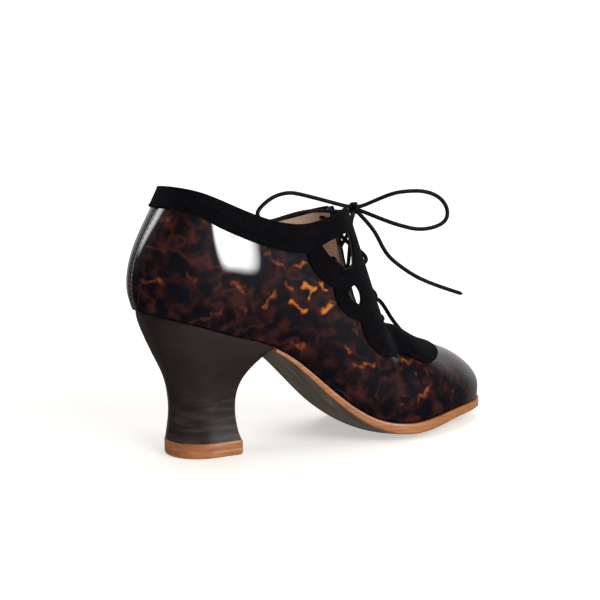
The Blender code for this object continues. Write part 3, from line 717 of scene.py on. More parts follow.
def edge_paint():
    finish, tree, shader = start_finish("black_edge_paint", Roughness=0.6)
    mottled = noise(tree, shoe_place(tree), 600, 3)
    colour = ramp(tree, mottled, [(0.3, (0.004, 0.004, 0.005)), (0.7, (0.012, 0.011, 0.012))])
    paint(tree, shader, colour)
    return finish


suede = black_suede()
lining = lining_leather()
edging = edge_paint()
print("finishes", suede.name, lining.name, edging.name)

# %% [markdown]
# ## Openings of the upper
# The throat is a slot down the instep, and two cut-outs between scallops open the facing on each side.
# All of them are cutters: plain prisms that a Boolean takes away. Seen from the side, an outline is a few
# corners joined by shallow arcs, which is how a pattern cutter would draw it.

# %% Outlines of the openings
Slot = namedtuple("Slot", "rise half")
SLOT = [
    Slot(0.445, 0.200),
    Slot(0.490, 0.250),
    Slot(0.570, 0.268),
    Slot(0.730, 0.262),
    Slot(0.940, 0.185),
    Slot(1.200, 0.150),
]
SLOT_BACK, SLOT_FRONT, THROAT_ALONG = 0.490, 1.100, 0.650
THROAT_Y = float(axis_y(LENGTH * THROAT_ALONG))
EYELET_RADIUS = 0.0014
EYELET_INSET = 0.0034
EYELET_RISES = [0.470, 0.575, 0.735, 0.920]
HALVINGS = 40

Corner = namedtuple("Corner", "along rise bow")
UPPER_CUTOUT = [
    Corner(0.458, 0.852, 0.04),
    Corner(0.511, 0.748, 0.12),
    Corner(0.551, 0.760, 0.04),
    Corner(0.562, 0.893, 0.03),
]
LOWER_CUTOUT = [
    Corner(0.518, 0.650, 0.08),
    Corner(0.548, 0.585, 0.15),
    Corner(0.560, 0.640, 0.12),
    Corner(0.541, 0.680, 0.10),
]
SCALLOPS = [
    Corner(0.412, 0.826, 0.12),
    Corner(0.479, 0.674, 0.18),
    Corner(0.549, 0.526, 0.27),
    Corner(0.695, 0.364, 0.19),
]
FRONT_LOBE = Corner(0.844, 0.345, 0.0)
APRON_END = Corner(0.860, 0.420, 0.0)
PATTERN_TOP, PATTERN_BACK = 1.400, -0.100
COLLAR_BAND, COLLAR_BAND_BACK, COLLAR_BAND_FULL = 0.0138, 0.0068, 0.18


def bowed_line(start, end, bow, count=22):
    """Points of a shallow arc from start up to, but without, end; it bows to the right of its direction."""
    share = np.linspace(0, 1, count, endpoint=False)[:, None]
    across = np.array([end[1] - start[1], start[0] - end[0]])
    return start + (end - start) * share + across * bow * 4 * share * (1 - share)


def bowed_outline(corners, closed=True):
    """Outline through the corners of a table, with each line bowed as its row says."""
    pairs = list(zip(corners, corners[1:] + corners[:1]))
    lines = []
    for a, b in pairs if closed else pairs[:-1]:
        lines.append(bowed_line(side_point(a.along, a.rise), side_point(b.along, b.rise), a.bow))
    return np.concatenate(lines)


def band_width(x):
    """Height of the suede band under the collar edge."""
    share = np.clip(x / (COLLAR_BAND_FULL * LENGTH), 0, 1)
    return COLLAR_BAND_BACK + (COLLAR_BAND - COLLAR_BAND_BACK) * share


def suede_edge():
    """Side view of the suede's lower edge: the collar band, then the scallops to the front lobe."""
    xs = np.linspace(PATTERN_BACK * LENGTH, SCALLOPS[0].along * LENGTH, 70, endpoint=False)
    band = np.stack([xs, collar_height(xs, COLLAR_LEVEL * HALF_BALL) - band_width(xs)], 1)
    return np.concatenate([band, bowed_outline(SCALLOPS + [FRONT_LOBE], closed=False)])


def suede_outline():
    """Side view of the suede, closed by lines that lie clear of the shoe."""
    ends = [FRONT_LOBE[:2], APRON_END[:2], (APRON_END.along, PATTERN_TOP), (PATTERN_BACK, PATTERN_TOP)]
    return np.concatenate([suede_edge(), np.array([side_point(*end) for end in ends])])


def slot_half(z):
    """Half width of the throat slot at a height."""
    return np.interp(z, [row.rise * INSTEP_HEIGHT for row in SLOT], [row.half * HALF_BALL for row in SLOT])


print("suede outline has", len(suede_outline()), "points")

# %% [markdown]
# ## Cutters
# A cutter has the same three finish slots as the upper, and all its faces use the third. The Boolean
# carries that slot over to the faces that it opens, so each cut edge comes out painted black without any
# picking of faces.

# %% Prisms and cutters


def turns(sides):
    """Angles of the corners of a round section, as a column."""
    return np.linspace(0, 2 * math.pi, sides, endpoint=False)[:, None]


def cutter(name, rings):
    points, faces = loft(rings)
    return make_piece(name, points, faces, [patent, lining, edging], [2] * len(faces), weld=True)


def side_prism(name, outline, tilt=0.0):
    """A prism right through the shoe from side to side, falling to the inner side by tilt."""
    rings = []
    for y in (-BALL_WIDTH, BALL_WIDTH):
        z = outline[:, 1] - tilt * (y - COLLAR_LEVEL * HALF_BALL)
        rings.append(points_at(outline[:, 0], y, z))
    return cutter(name, rings)


def throat_prism():
    """The throat: a slot seen from the front, with a round lower end."""
    heights = np.linspace(SLOT[0].rise, SLOT[-1].rise, 40) * INSTEP_HEIGHT
    halves = slot_half(heights)
    turn = np.linspace(math.pi, 2 * math.pi, 25)[1:-1]
    end = np.stack([halves[0] * np.cos(turn), heights[0] + halves[0] * np.sin(turn)], 1)
    outline = np.concatenate([end, np.stack([halves, heights], 1), np.stack([-halves, heights], 1)[::-1]])
    rings = []
    for x in (LENGTH * SLOT_BACK, LENGTH * SLOT_FRONT):
        rings.append(points_at(x, outline[:, 0] + THROAT_Y, outline[:, 1]))
    return cutter("throat_cutter", rings)


def wall_y(x, z, side):
    """Where across the foot the last's wall is, at a point of the side view."""
    along = x / LENGTH
    wide_y = plan_point(along, side, "wide")[1]
    low = base_height(x) + HALF_BALL * LAST["bulge"](along)
    rise = np.clip((z - low) / (crest_height(x) - low), 0, 1)
    return axis_y(x) + (wide_y - axis_y(x)) * np.sqrt(1 - rise ** 2) ** LAST["taper"](along)


def front_x(y, z):
    """How far forward the last reaches, at a point of the front view on the instep."""
    side = 1 if y > THROAT_Y else -1
    low, high = SLOT_BACK * LENGTH, TOE_ROUND * LENGTH
    for _ in range(HALVINGS):
        middle = (low + high) / 2
        inside = abs(wall_y(middle, z, side) - axis_y(middle)) > abs(y - axis_y(middle))
        low, high = (middle, high) if inside else (low, middle)
    return low


def instep_frame(y, z):
    """Point of the last on the instep and its outward direction, from its place on the front view."""
    step = 0.0005
    x = front_x(y, z)
    across = (front_x(y + step, z) - front_x(y - step, z)) / (2 * step)
    rise = (front_x(y, z + step) - front_x(y, z - step)) / (2 * step)
    return np.array([x, y, z]), unit(np.array([1, -across, -rise]))


def eyelet_places():
    """Front-view places of the lace holes: pairs from the bottom up, inner side first."""
    places = []
    for rise in EYELET_RISES:
        z = rise * INSTEP_HEIGHT
        out = slot_half(z) + EYELET_INSET
        places.append([(THROAT_Y + out, z), (THROAT_Y - out, z)])
    return places


def hole_cutter(name, y, z, reach=0.007, sides=20):
    """A round punch along x, through the wall at one lace hole."""
    turn = turns(sides)[:, 0]
    middle = front_x(y, z)
    rings = []
    for x in (middle - reach, middle + reach):
        rings.append(points_at(x, y + EYELET_RADIUS * np.cos(turn), z + EYELET_RADIUS * np.sin(turn)))
    return cutter(name, rings)


cutters = [throat_prism(), side_prism("upper_cutout_cutter", bowed_outline(UPPER_CUTOUT)),
           side_prism("lower_cutout_cutter", bowed_outline(LOWER_CUTOUT))]
for number, pair in enumerate(eyelet_places()):
    for side, (y, z) in enumerate(pair):
        cutters.append(hole_cutter(f"eyelet_cutter_{number}_{side}", y, z))
pattern = side_prism("suede_cutter", suede_outline(), COLLAR_TILT)
print(len(cutters) + 1, "cutters")

# %% [markdown]
# ## A wall between two grids
# The upper is a real wall: an inner skin that is lined, an outer skin of patent, and rims that join them
# at the collar and at the feather edge. Both skins come from the same grid, moved out by different
# distances. The Boolean uses the manifold solver, which is quick on closed meshes of this size, and its
# result is copied into a plain mesh.

# %% Shells and Booleans


def shell(name, inner, outer, finishes, slots):
    """A wall between two grids round the last; slots are the finishes of outer skin, inner skin and rims."""
    columns, levels = inner.shape[:2]
    points = np.concatenate([inner.reshape(-1, 3), outer.reshape(-1, 3)])
    skin = columns * levels
    here = np.arange(columns)[:, None] * levels + np.arange(levels - 1)[None]
    there = (np.arange(1, columns + 1) % columns)[:, None] * levels + np.arange(levels - 1)[None]
    quads = np.stack([here, there, there + 1, here + 1], -1).reshape(-1, 4)
    faces = np.concatenate([quads[:, ::-1], quads + skin]).tolist()
    kinds = [slots[1]] * len(quads) + [slots[0]] * len(quads)
    for i in range(columns):
        j = (i + 1) % columns
        rims = [0] if CLOSED[i] and CLOSED[j] else [0, levels - 1]
        for k in rims:
            faces.append([i * levels + k, j * levels + k, skin + j * levels + k, skin + i * levels + k])
            kinds.append(slots[2])
    return make_piece(name, points, faces, finishes, kinds, weld=True)


def carve(piece, tool, operation="DIFFERENCE"):
    step = piece.modifiers.new(tool.name, "BOOLEAN")
    step.operation = operation
    step.object = tool
    step.solver = "MANIFOLD"


def settle(piece):
    """The piece's modifiers become its plain mesh."""
    graph = bpy.context.evaluated_depsgraph_get()
    mesh = bpy.data.meshes.new_from_object(piece.evaluated_get(graph))
    piece.modifiers.clear()
    piece.data = mesh
    mesh.shade_smooth()
    mesh.set_sharp_from_angle(angle=math.radians(SHARP))


upper = shell("patent_upper", offset_grid(0.0), offset_grid(WALL), [patent, lining, edging], (0, 1, 2))
overlay = shell("suede_overlay", offset_grid(WALL), offset_grid(WALL + GAP + SUEDE), [suede], (0, 0, 0))
carve(overlay, pattern, "INTERSECT")
for piece in (upper, overlay):
    for tool in cutters:
        carve(piece, tool)
    settle(piece)
print("upper", len(upper.data.polygons), "faces, suede", len(overlay.data.polygons), "faces")

# %% [markdown]
# ## Charting the amber strokes
# Tortoiseshell never repeats, so its larger amber strokes are listed in a chart: where a stroke starts and
# ends along the foot and in height, how thick it is and how bright. The cut-outs and scallops are the marks
# to judge these places by. A wavy flow makes the strokes uneven, and one ring of amber lies low on the vamp.
# The inner side takes the same chart moved a little, as both quarters are cut from one hide.

# %% Amber chart on the upper
Stroke = namedtuple("Stroke", "along rise to_along to_rise size heat")
QUARTER_FRONT = [
    Stroke(0.395, 0.700, 0.425, 0.680, 0.0018, 0.92),
    Stroke(0.412, 0.680, 0.412, 0.650, 0.0013, 0.85),
    Stroke(0.360, 0.635, 0.395, 0.590, 0.0017, 0.92),
    Stroke(0.445, 0.590, 0.465, 0.600, 0.0019, 0.92),
    Stroke(0.445, 0.705, 0.460, 0.665, 0.0012, 0.85),
    Stroke(0.472, 0.635, 0.476, 0.600, 0.0014, 0.60),
    Stroke(0.375, 0.780, 0.405, 0.785, 0.0016, 0.60),
    Stroke(0.345, 0.720, 0.360, 0.690, 0.0018, 0.60),
    Stroke(0.300, 0.845, 0.350, 0.765, 0.0016, 0.50),
    Stroke(0.320, 0.685, 0.285, 0.625, 0.0019, 0.55),
]
QUARTER_BACK = [
    Stroke(0.205, 0.735, 0.230, 0.705, 0.0028, 0.50),
    Stroke(0.175, 0.870, 0.190, 0.795, 0.0018, 0.50),
    Stroke(0.010, 0.755, 0.035, 0.755, 0.0018, 0.50),
    Stroke(0.010, 0.885, 0.050, 0.880, 0.0016, 0.40),
    Stroke(0.090, 0.775, 0.110, 0.760, 0.0028, 0.38),
    Stroke(0.115, 0.590, 0.165, 0.620, 0.0018, 0.42),
    Stroke(0.045, 0.990, 0.075, 1.000, 0.0020, 0.42),
    Stroke(0.150, 0.960, 0.170, 0.950, 0.0022, 0.36),
    Stroke(0.230, 0.630, 0.235, 0.605, 0.0020, 0.36),
]
WAIST = [
    Stroke(0.370, 0.460, 0.400, 0.440, 0.0020, 0.52),
    Stroke(0.503, 0.425, 0.510, 0.415, 0.0017, 0.65),
    Stroke(0.520, 0.345, 0.575, 0.345, 0.0018, 0.56),
    Stroke(0.530, 0.520, 0.532, 0.480, 0.0016, 0.44),
    Stroke(0.580, 0.400, 0.605, 0.370, 0.0016, 0.42),
    Stroke(0.575, 0.205, 0.590, 0.195, 0.0020, 0.36),
]
VAMP = [
    Stroke(0.685, 0.330, 0.715, 0.325, 0.0017, 0.52),
    Stroke(0.708, 0.272, 0.715, 0.265, 0.0014, 0.58),
    Stroke(0.715, 0.185, 0.745, 0.210, 0.0018, 0.60),
    Stroke(0.650, 0.155, 0.690, 0.150, 0.0014, 0.42),
    Stroke(0.685, 0.150, 0.685, 0.125, 0.0013, 0.40),
    Stroke(0.825, 0.175, 0.840, 0.165, 0.0020, 0.40),
]
Ring = namedtuple("Ring", "along rise radius width heat")
RING = Ring(0.705, 0.250, 0.0104, 0.0012, 0.40)
INNER_MOVE = np.array([0.018, -0.008])
FLOW = 0.0010
FLOW_WAVE = 0.008
FLOW_PACE, PACE_ALONG, PACE_UP = 1.2, 0.6, 0.7
BEND_ALONG, BEND_UP = 1.7, 1.3


def flow(points):
    """Two crossed waves, each bent by the other, that make the strokes uneven."""
    phase = points * 2 * math.pi / FLOW_WAVE
    ahead = np.sin(phase[:, 2] + BEND_ALONG * np.sin(phase[:, 0] * PACE_ALONG))
    up = np.sin(phase[:, 0] * FLOW_PACE + BEND_UP * np.sin(phase[:, 2] * PACE_UP))
    return FLOW * np.stack([ahead, up], 1)


def amber_chart(points):
    """How strongly each point belongs to a charted stroke, from 0 to about 1."""
    move = np.where(points[:, 1:2] > 0, INNER_MOVE, 0.0)
    flat = points[:, [0, 2]] - move + flow(points)
    off_ring = np.linalg.norm(flat - side_point(RING.along, RING.rise), axis=1) - RING.radius
    chart = RING.heat * np.exp(-(off_ring / RING.width) ** 2)
    for stroke in QUARTER_FRONT + QUARTER_BACK + WAIST + VAMP:
        start, end = side_point(stroke.along, stroke.rise), side_point(stroke.to_along, stroke.to_rise)
        off, _ = off_line(flat, start, end)
        chart = np.maximum(chart, stroke.heat * np.exp(-(off / stroke.size) ** 2))
    return chart


def vertex_places(mesh):
    places = np.zeros(len(mesh.vertices) * 3)
    mesh.vertices.foreach_get("co", places)
    return places.reshape(-1, 3) - SHIFT


places = vertex_places(upper.data)
chart = amber_chart(places)
# The foot attribute is each point's height over the feather edge; the patent reads it for its painted shade
# along that edge.
foot = places[:, 2] - base_height(places[:, 0])
for name, values in (("amber", chart), ("foot", foot)):
    upper.data.attributes.new(name, "FLOAT", "POINT").data.foreach_set("value", values.astype(np.float32))
tie(upper, "patent_leather", "upper")
tie(overlay, "black_suede", "suede_facing")
for tool in cutters + [pattern]:
    bpy.data.objects.remove(tool)
print("amber over half strength:", int((chart > 0.5).sum()), "points")

# %% [markdown]
# ## Rolled collar edge
# The suede of the collar is folded over the rim and glued down inside, which makes a soft round edge. It
# is drawn as an oval section carried along the rim, from one side of the throat round the back to the
# other side. A lofted skin does this better than a bevel, because the upper and the suede are two pieces
# with a gap between them, and one roll covers both.

# %% Collar roll
ROLL_HEIGHT = 0.0009
ROLL_PROUD = 1.08
ROLL_SIDES = 12


def collar_columns():
    """Columns of the grid that end at the collar, from the far side of the throat round to the near side."""
    rim = GRID[:, -1]
    beside = np.abs(rim[:, 1] - THROAT_Y) > slot_half(rim[:, 2]) + GAP
    free = ~CLOSED & ((rim[:, 0] < SLOT_BACK * LENGTH) | beside)
    half = len(rim) // 2
    return [k for k in range(half, len(rim)) if free[k]] + [k for k in range(half) if free[k]]


def collar_roll():
    """The folded edge of suede over the rim of the collar."""
    inner, outer = offset_grid(0.0)[:, -1], offset_grid(WALL + GAP + SUEDE)[:, -1]
    turn = turns(ROLL_SIDES)
    rings = []
    for k in collar_columns():
        middle, half = (inner[k] + outer[k]) / 2, (outer[k] - inner[k]) / 2 * ROLL_PROUD
        rings.append(middle + np.cos(turn) * half + np.sin(turn) * np.array([0, 0, ROLL_HEIGHT]))
    return make_piece("collar_roll", *loft(rings), [suede], weld=True, sharp=60)


tie(collar_roll(), "black_suede")

# %% [markdown]
# ## Stitches
# One row of black thread holds the suede down, a little inside its scalloped edge and along the foot of
# the collar band. A stitch is a short bead of thread, a spindle with blunt ends, set on the surface where
# a ray from the side meets the suede. All of them are one mesh, since nearly two hundred separate objects
# would only slow the scene.

# %% Stitch rows on the suede
STITCH_INSET = 0.0018
STITCH_PITCH = 0.0023
STITCH_LENGTH = 0.0017
STITCH_RADIUS = 0.00022
STITCH_FROM = 0.05
QUARTER_HALF = 0.7
SPINDLE = [(-0.5, 0.35), (-0.32, 1.0), (0.32, 1.0), (0.5, 0.35)]


def black_thread():
    finish, tree, shader = start_finish("black_thread", Roughness=0.7, Specular_IOR_Level=0.1)
    twist = noise(tree, shoe_place(tree), 3000, 2)
    colour = ramp(tree, twist, [(0.3, (0.0012, 0.0010, 0.0016)), (0.7, (0.0060, 0.0050, 0.0065))])
    paint(tree, shader, colour)
    return finish


def stitch_line():
    """Side view of the row: the suede's lower edge moved inwards, read off at an even pitch."""
    edge = suede_edge()
    edge = edge[edge[:, 0] > STITCH_FROM * LENGTH]
    ahead = unit(np.gradient(edge, axis=0))
    inside = edge + STITCH_INSET * np.stack([-ahead[:, 1], ahead[:, 0]], 1)
    flat = points_at(inside[:, 0], 0.0, inside[:, 1])
    return even_steps(flat, int(steps(flat).sum() / STITCH_PITCH))


def place_stitches(side, surface, reach=0.1):
    """Where the row's points meet the suede on one side, with the direction of the row and of the surface."""
    line = stitch_line()
    fall = COLLAR_TILT * (side * QUARTER_HALF - COLLAR_LEVEL) * HALF_BALL
    found = []
    for point, ahead in zip(line, np.gradient(line, axis=0)):
        start = point + SHIFT + np.array([0, side * reach, -fall])
        hit, normal, _, _ = surface.ray_cast(Vector(start), Vector((0, -side, 0)), reach)
        if hit is not None and normal.y * side > 0:
            found.append((np.array(hit) - SHIFT, unit(ahead), np.array(normal)))
    return found


def stitch_mesh(found, sides=6):
    """One mesh of spindles at the places found."""
    points, faces = [], []
    turn = turns(sides)
    for place, ahead, normal in found:
        across = unit(np.cross(normal, ahead))
        along = np.cross(across, normal)
        middle = place + normal * STITCH_RADIUS / 2
        rings = []
        for share, size in SPINDLE:
            oval = np.cos(turn) * across + np.sin(turn) * normal
            rings.append(middle + along * share * STITCH_LENGTH + oval * STITCH_RADIUS * size)
        first = sum(len(block) for block in points)
        block, quads = loft(rings)
        points.append(block)
        faces += [[first + k for k in face] for face in quads]
    return make_piece("suede_stitches", np.concatenate(points), faces, [black_thread()])


corners = [vertex.co for vertex in overlay.data.vertices]
surface = BVHTree.FromPolygons(corners, [polygon.vertices[:] for polygon in overlay.data.polygons])
stitches = place_stitches(-1, surface) + place_stitches(1, surface)
tie(stitch_mesh(stitches), "black_suede")
print(len(stitches), "stitches")

# %% [markdown]
# ## The lace
# A waxed round lace about two millimetres thick. A braid shows as a fine herringbone, so the tube is a
# mesh with its own UV map, one way round and one way along, and the finish weaves two slanting waves over
# it. Each tube is carried along its path without twist, by turning the last cross-section as little as
# possible.

# %% Waxed braid finish and a tube along a path
BRAID_PITCH = 0.0022
BRAID_STRANDS = 4
BRAID_TONES = [(0.1, (0.0012, 0.0012, 0.0016)), (0.9, (0.0052, 0.0050, 0.0056))]
DOME = np.array([0.12, 0.55, 0.85, 1.0])
ASIDE = np.array([0.31, 0.95, 0.12])
Stop = namedtuple("Stop", "reach x y z")


def waxed_braid():
    finish, tree, shader = start_finish("waxed_braid", Roughness=0.48, Specular_IOR_Level=0.18)
    around, along, _ = axes(tree, add(tree, "UVMap", {"uv_map": "braid"}).outputs["UV"])
    waves = []
    for slant in (BRAID_STRANDS, -BRAID_STRANDS):
        turned = maths(tree, "ADD", maths(tree, "MULTIPLY", around, slant), along)
        waves.append(maths(tree, "SINE", maths(tree, "MULTIPLY", turned, 2 * math.pi)))
    braid = maths(tree, "MAXIMUM", *waves)
    paint(tree, shader, ramp(tree, between(tree, braid, -0.4, 1.0), BRAID_TONES))
    bump(tree, shader, braid, depth=0.00010, strength=0.7)
    return finish


waxed = waxed_braid()


def carried_frames(path):
    """Two directions across a path at each point, turned as little as possible from one to the next."""
    ahead = unit(np.gradient(path, axis=0))
    sideways = [unit(np.cross(ahead[0], ASIDE))]
    for direction in ahead[1:]:
        sideways.append(unit(sideways[-1] - direction * (sideways[-1] @ direction)))
    sideways = np.array(sideways)
    return sideways, np.cross(ahead, sideways)


def smooth_path(points, spacing=0.0007):
    """A smooth curve through a list of points, read off at an even spacing."""
    points = np.asarray(points, float)
    reach = running_sum(steps(points) ** 0.5)
    table = [Stop(r, *p) for r, p in zip(reach, points)]
    fine = np.linspace(0, reach[-1], 40 * len(points))
    curve = np.stack([spline(table, axis)(fine) for axis in "xyz"], 1)
    return even_steps(curve, max(8, int(steps(curve).sum() / spacing)))


def lace_tube(name, path, sides=12, radius=LACE_DIAMETER / 2):
    """A round lace along a path, with domed ends and a UV map for its braid."""
    sizes = np.ones(len(path))
    sizes[:len(DOME)] = DOME
    sizes[-len(DOME):] = DOME[::-1]
    turn = turns(sides)
    rings = []
    for point, a, b, size in zip(path, *carried_frames(path), sizes):
        rings.append(point + radius * size * (np.cos(turn) * a + np.sin(turn) * b))
    piece = make_piece(name, *loft(rings), [waxed])
    reach = running_sum(steps(path)) / BRAID_PITCH
    layer = piece.data.uv_layers.new(name="braid")
    for polygon in piece.data.polygons:
        rows = [piece.data.loops[k].vertex_index for k in polygon.loop_indices]
        wraps = max(v % sides for v in rows) - min(v % sides for v in rows) > 1
        for k, vertex in zip(polygon.loop_indices, rows):
            around = vertex % sides
            around = sides if wraps and around == 0 else around
            layer.data[k].uv = (around / sides, reach[vertex // sides])
    return piece


print("lace", round(LACE_DIAMETER * 1000, 1), "mm thick")

# %% [markdown]
# ## The bow
# The free lace is laid before the lacing, because the lacing ends in its knot. Its bends are given from
# the middle of the knot, and most of them were read from the picture with an assumed distance across the
# foot: one loop reaches forward, one back over the mouth of the shoe, and one end curves down in front of
# the instep. The other end hangs on the far side where this view doesn't reach, so it is a guess.

# %% Loops and ends of the bow
KNOT_PLACE = np.array([0.1340, 0.0, 0.1247])
Bend = namedtuple("Bend", "ahead across up")
FRONT_LOOP = [
    Bend(0.0004, -0.0006, 0.0005),
    Bend(0.0040, -0.0017, 0.0011),
    Bend(0.0180, -0.0070, 0.0067),
    Bend(0.0269, -0.0100, 0.0084),
    Bend(0.0372, -0.0130, 0.0080),
    Bend(0.0461, -0.0150, 0.0042),
    Bend(0.0498, -0.0170, -0.0017),
    Bend(0.0481, -0.0180, -0.0085),
    Bend(0.0353, -0.0160, -0.0125),
    Bend(0.0250, -0.0130, -0.0108),
    Bend(0.0147, -0.0090, -0.0070),
    Bend(0.0036, -0.0022, -0.0018),
    Bend(0.0004, -0.0010, -0.0008),
]
BACK_LOOP = [
    Bend(-0.0004, 0.0004, 0.0005),
    Bend(-0.0042, 0.0009, 0.0012),
    Bend(-0.0136, 0.0030, 0.0040),
    Bend(-0.0296, 0.0070, 0.0088),
    Bend(-0.0369, 0.0090, 0.0099),
    Bend(-0.0444, 0.0110, 0.0080),
    Bend(-0.0506, 0.0120, 0.0039),
    Bend(-0.0540, 0.0120, -0.0007),
    Bend(-0.0518, 0.0110, -0.0041),
    Bend(-0.0462, 0.0100, -0.0049),
    Bend(-0.0258, 0.0050, -0.0005),
    Bend(-0.0040, 0.0007, -0.0018),
    Bend(-0.0004, 0.0002, -0.0008),
]
NEAR_END = [
    Bend(-0.0002, -0.0008, -0.0006),
    Bend(0.0010, -0.0033, -0.0027),
    Bend(0.0073, -0.0080, -0.0117),
    Bend(0.0111, -0.0100, -0.0195),
    Bend(0.0148, -0.0120, -0.0263),
    Bend(0.0215, -0.0140, -0.0326),
    Bend(0.0333, -0.0160, -0.0403),
    Bend(0.0589, -0.0200, -0.0508),
]
FAR_END = [
    Bend(-0.0002, 0.0008, -0.0006),
    Bend(0.0010, 0.0033, -0.0027),
    Bend(0.0040, 0.0100, -0.0095),
    Bend(0.0080, 0.0180, -0.0190),
    Bend(0.0115, 0.0250, -0.0290),
    Bend(0.0140, 0.0320, -0.0440),
    Bend(0.0155, 0.0370, -0.0600),
]


def path_length(path):
    return float(steps(path).sum())


def free_lace(name, bends, node):
    """One free length of the lace, with its length printed."""
    path = smooth_path(np.array(bends) + KNOT_PLACE)
    piece = tie(lace_tube(name, path), "waxed_lace", node)
    print(name, round(path_length(path) * 1000), "mm long")


print("bends of the bow:", len(FRONT_LOOP), len(BACK_LOOP), len(NEAR_END), len(FAR_END))

# %% [markdown]
# ## The knot
# A tied bow has a core, where the loops pass through, and a turn of lace that wraps it. Both are short
# lengths of the same tube: a coil of a turn and a half round the core, and two strands that run through
# it.

# %% Knot of the bow
WRAP_RADIUS = 0.0023
WRAP_WIDE = 1.15
WRAP_TURNS = 1.6
WRAP_START = -0.6
WRAP_DRIFT = 0.0016
CORE_OVER = [
    Bend(-0.0044, 0.0010, 0.0013),
    Bend(-0.0015, 0.0006, 0.0009),
    Bend(0.0015, -0.0008, 0.0008),
    Bend(0.0043, -0.0019, 0.0012),
]
CORE_UNDER = [
    Bend(-0.0043, 0.0008, -0.0019),
    Bend(-0.0012, 0.0002, -0.0009),
    Bend(0.0012, -0.0008, -0.0009),
    Bend(0.0039, -0.0023, -0.0019),
]
CORE_RADIUS = LACE_DIAMETER * 0.48
KNOT_SPACING = 0.0005


def wrapping_turn():
    """Path of the lace that wraps the knot."""
    turn = np.linspace(WRAP_START * math.pi, (2 * WRAP_TURNS + WRAP_START) * math.pi, 40)
    drift = np.linspace(-WRAP_DRIFT, WRAP_DRIFT, len(turn))
    return points_at(drift, WRAP_RADIUS * WRAP_WIDE * np.cos(turn), WRAP_RADIUS * np.sin(turn))


wrap = smooth_path(wrapping_turn() + KNOT_PLACE, KNOT_SPACING)
knot = tie(lace_tube("knot_wrap", wrap), "waxed_lace", "lace_knot")
for number, bends in enumerate((CORE_OVER, CORE_UNDER)):
    path = smooth_path(np.array(bends) + KNOT_PLACE, KNOT_SPACING)
    tie(lace_tube(f"knot_core_{number}", path, radius=CORE_RADIUS), "waxed_lace")
free_lace("bow_loop_front", FRONT_LOOP, "lace_loop_front")
free_lace("bow_loop_back", BACK_LOOP, "lace_loop_back")
free_lace("bow_end_near", NEAR_END, "lace_end_near")
free_lace("bow_end_far", FAR_END, "lace_end_far")

# %% [markdown]
# ## Lacing through the holes
# Each half of the lace comes up through a hole from inside, crosses the throat, goes under the facing on
# the other side and comes up through the next hole. At each crossing one half lies over the other, so the
# two are lifted apart by a lace's thickness. A short stretch inside the throat joins the lowest pair. A
# first strand runs straight from the near facing to the front of the throat.

# %% Lacing run
OUTSIDE = WALL + GAP + SUEDE + LACE_DIAMETER * 0.35
INSIDE = -LACE_DIAMETER / 2 - 0.0003
CROSS_LIFT = LACE_DIAMETER * 0.55
# Where a strand passes the throat's edges: how far beside them, and what share of its climb lies outside them
OVER_EDGE, OVER_SHARE = 0.0006, 0.18
UNDER_EDGE, UNDER_SHARE = -0.0002, 0.20
LAND_DEPTH = INSIDE + 0.0004
THROAT_ASIDE = 0.004
OUT_SHARE, IN_SHARE = 0.25, 0.2
START_ASIDE, START_DROP, START_DEPTH = 0.0008, 0.001, 0.0012
TOP_ASIDE, TOP_RISE = 0.0015, 0.001
KNOT_ENTRY = [Bend(-0.0022, 0.0026, -0.0016), Bend(-0.0004, 0.0008, -0.0004)]
STRAND_FOOT = 0.790
STRAND_ASIDE = 0.003


def on_instep(place, depth):
    point, outward = instep_frame(*place)
    return point + outward * depth


def by_throat(hole, beside, z):
    """A place near the edge of the throat, on a hole's side and at a height of its own."""
    return np.array([THROAT_Y + np.sign(hole[0] - THROAT_Y) * (slot_half(hole[1]) + beside), z])


def crossing(start, end, lift):
    """Points from one hole up, over the edge, across the throat and under the far facing to the next hole."""
    start, end = np.array(start), np.array(end)
    climb = end[1] - start[1]
    edge_start = by_throat(start, OVER_EDGE, start[1] + OVER_SHARE * climb)
    edge_end = by_throat(end, UNDER_EDGE, end[1] - UNDER_SHARE * climb)
    leave = on_instep(edge_start, OUTSIDE)
    land = on_instep(edge_end, LAND_DEPTH)
    _, outward = instep_frame(THROAT_Y + THROAT_ASIDE, (start[1] + end[1]) / 2)
    outward[1] = 0
    middle = (leave + land) / 2 + outward * lift
    over = start * (1 - OUT_SHARE) + edge_start * OUT_SHARE
    rise = [on_instep(start, WALL / 2), on_instep(over, OUTSIDE), leave]
    under = end * (1 - IN_SHARE) + edge_end * IN_SHARE
    fall = [land, on_instep(under, INSIDE), on_instep(end, WALL / 2)]
    return rise + [middle] + fall


def lacing_run(first_side, lift):
    """One half of the lace, from the lowest pair of holes to the knot."""
    pairs = eyelet_places()
    side = first_side
    hole = pairs[0][side]
    out = 1 if side == 0 else -1
    start = on_instep((THROAT_Y + out * START_ASIDE, hole[1] - START_DROP), INSIDE - START_DEPTH)
    points = [start, on_instep(hole, INSIDE)]
    for low, high in zip(pairs, pairs[1:]):
        stretch = crossing(low[side], high[1 - side], lift)
        points += stretch if len(points) == 2 else stretch[1:]
        side = 1 - side
    top = pairs[-1][side]
    out = 1 if side == 0 else -1
    points.append(on_instep((top[0] - out * TOP_ASIDE, top[1] + TOP_RISE), OUTSIDE))
    for bend in KNOT_ENTRY:
        points.append(KNOT_PLACE + np.array([bend.ahead, out * bend.across, bend.up]))
    return smooth_path(points)


def lowest_strand():
    """The first strand, pulled straight from a hole of the near facing down to the front of the throat."""
    hole = eyelet_places()[1][1]
    start = on_instep(hole, OUTSIDE)
    end = np.array([STRAND_FOOT * LENGTH, STRAND_ASIDE, 0.0])
    end[2] = crest_height(end[0]) + WALL + GAP + SUEDE / 2
    return smooth_path([on_instep(hole, WALL / 2), start, start * 0.5 + end * 0.5, end])


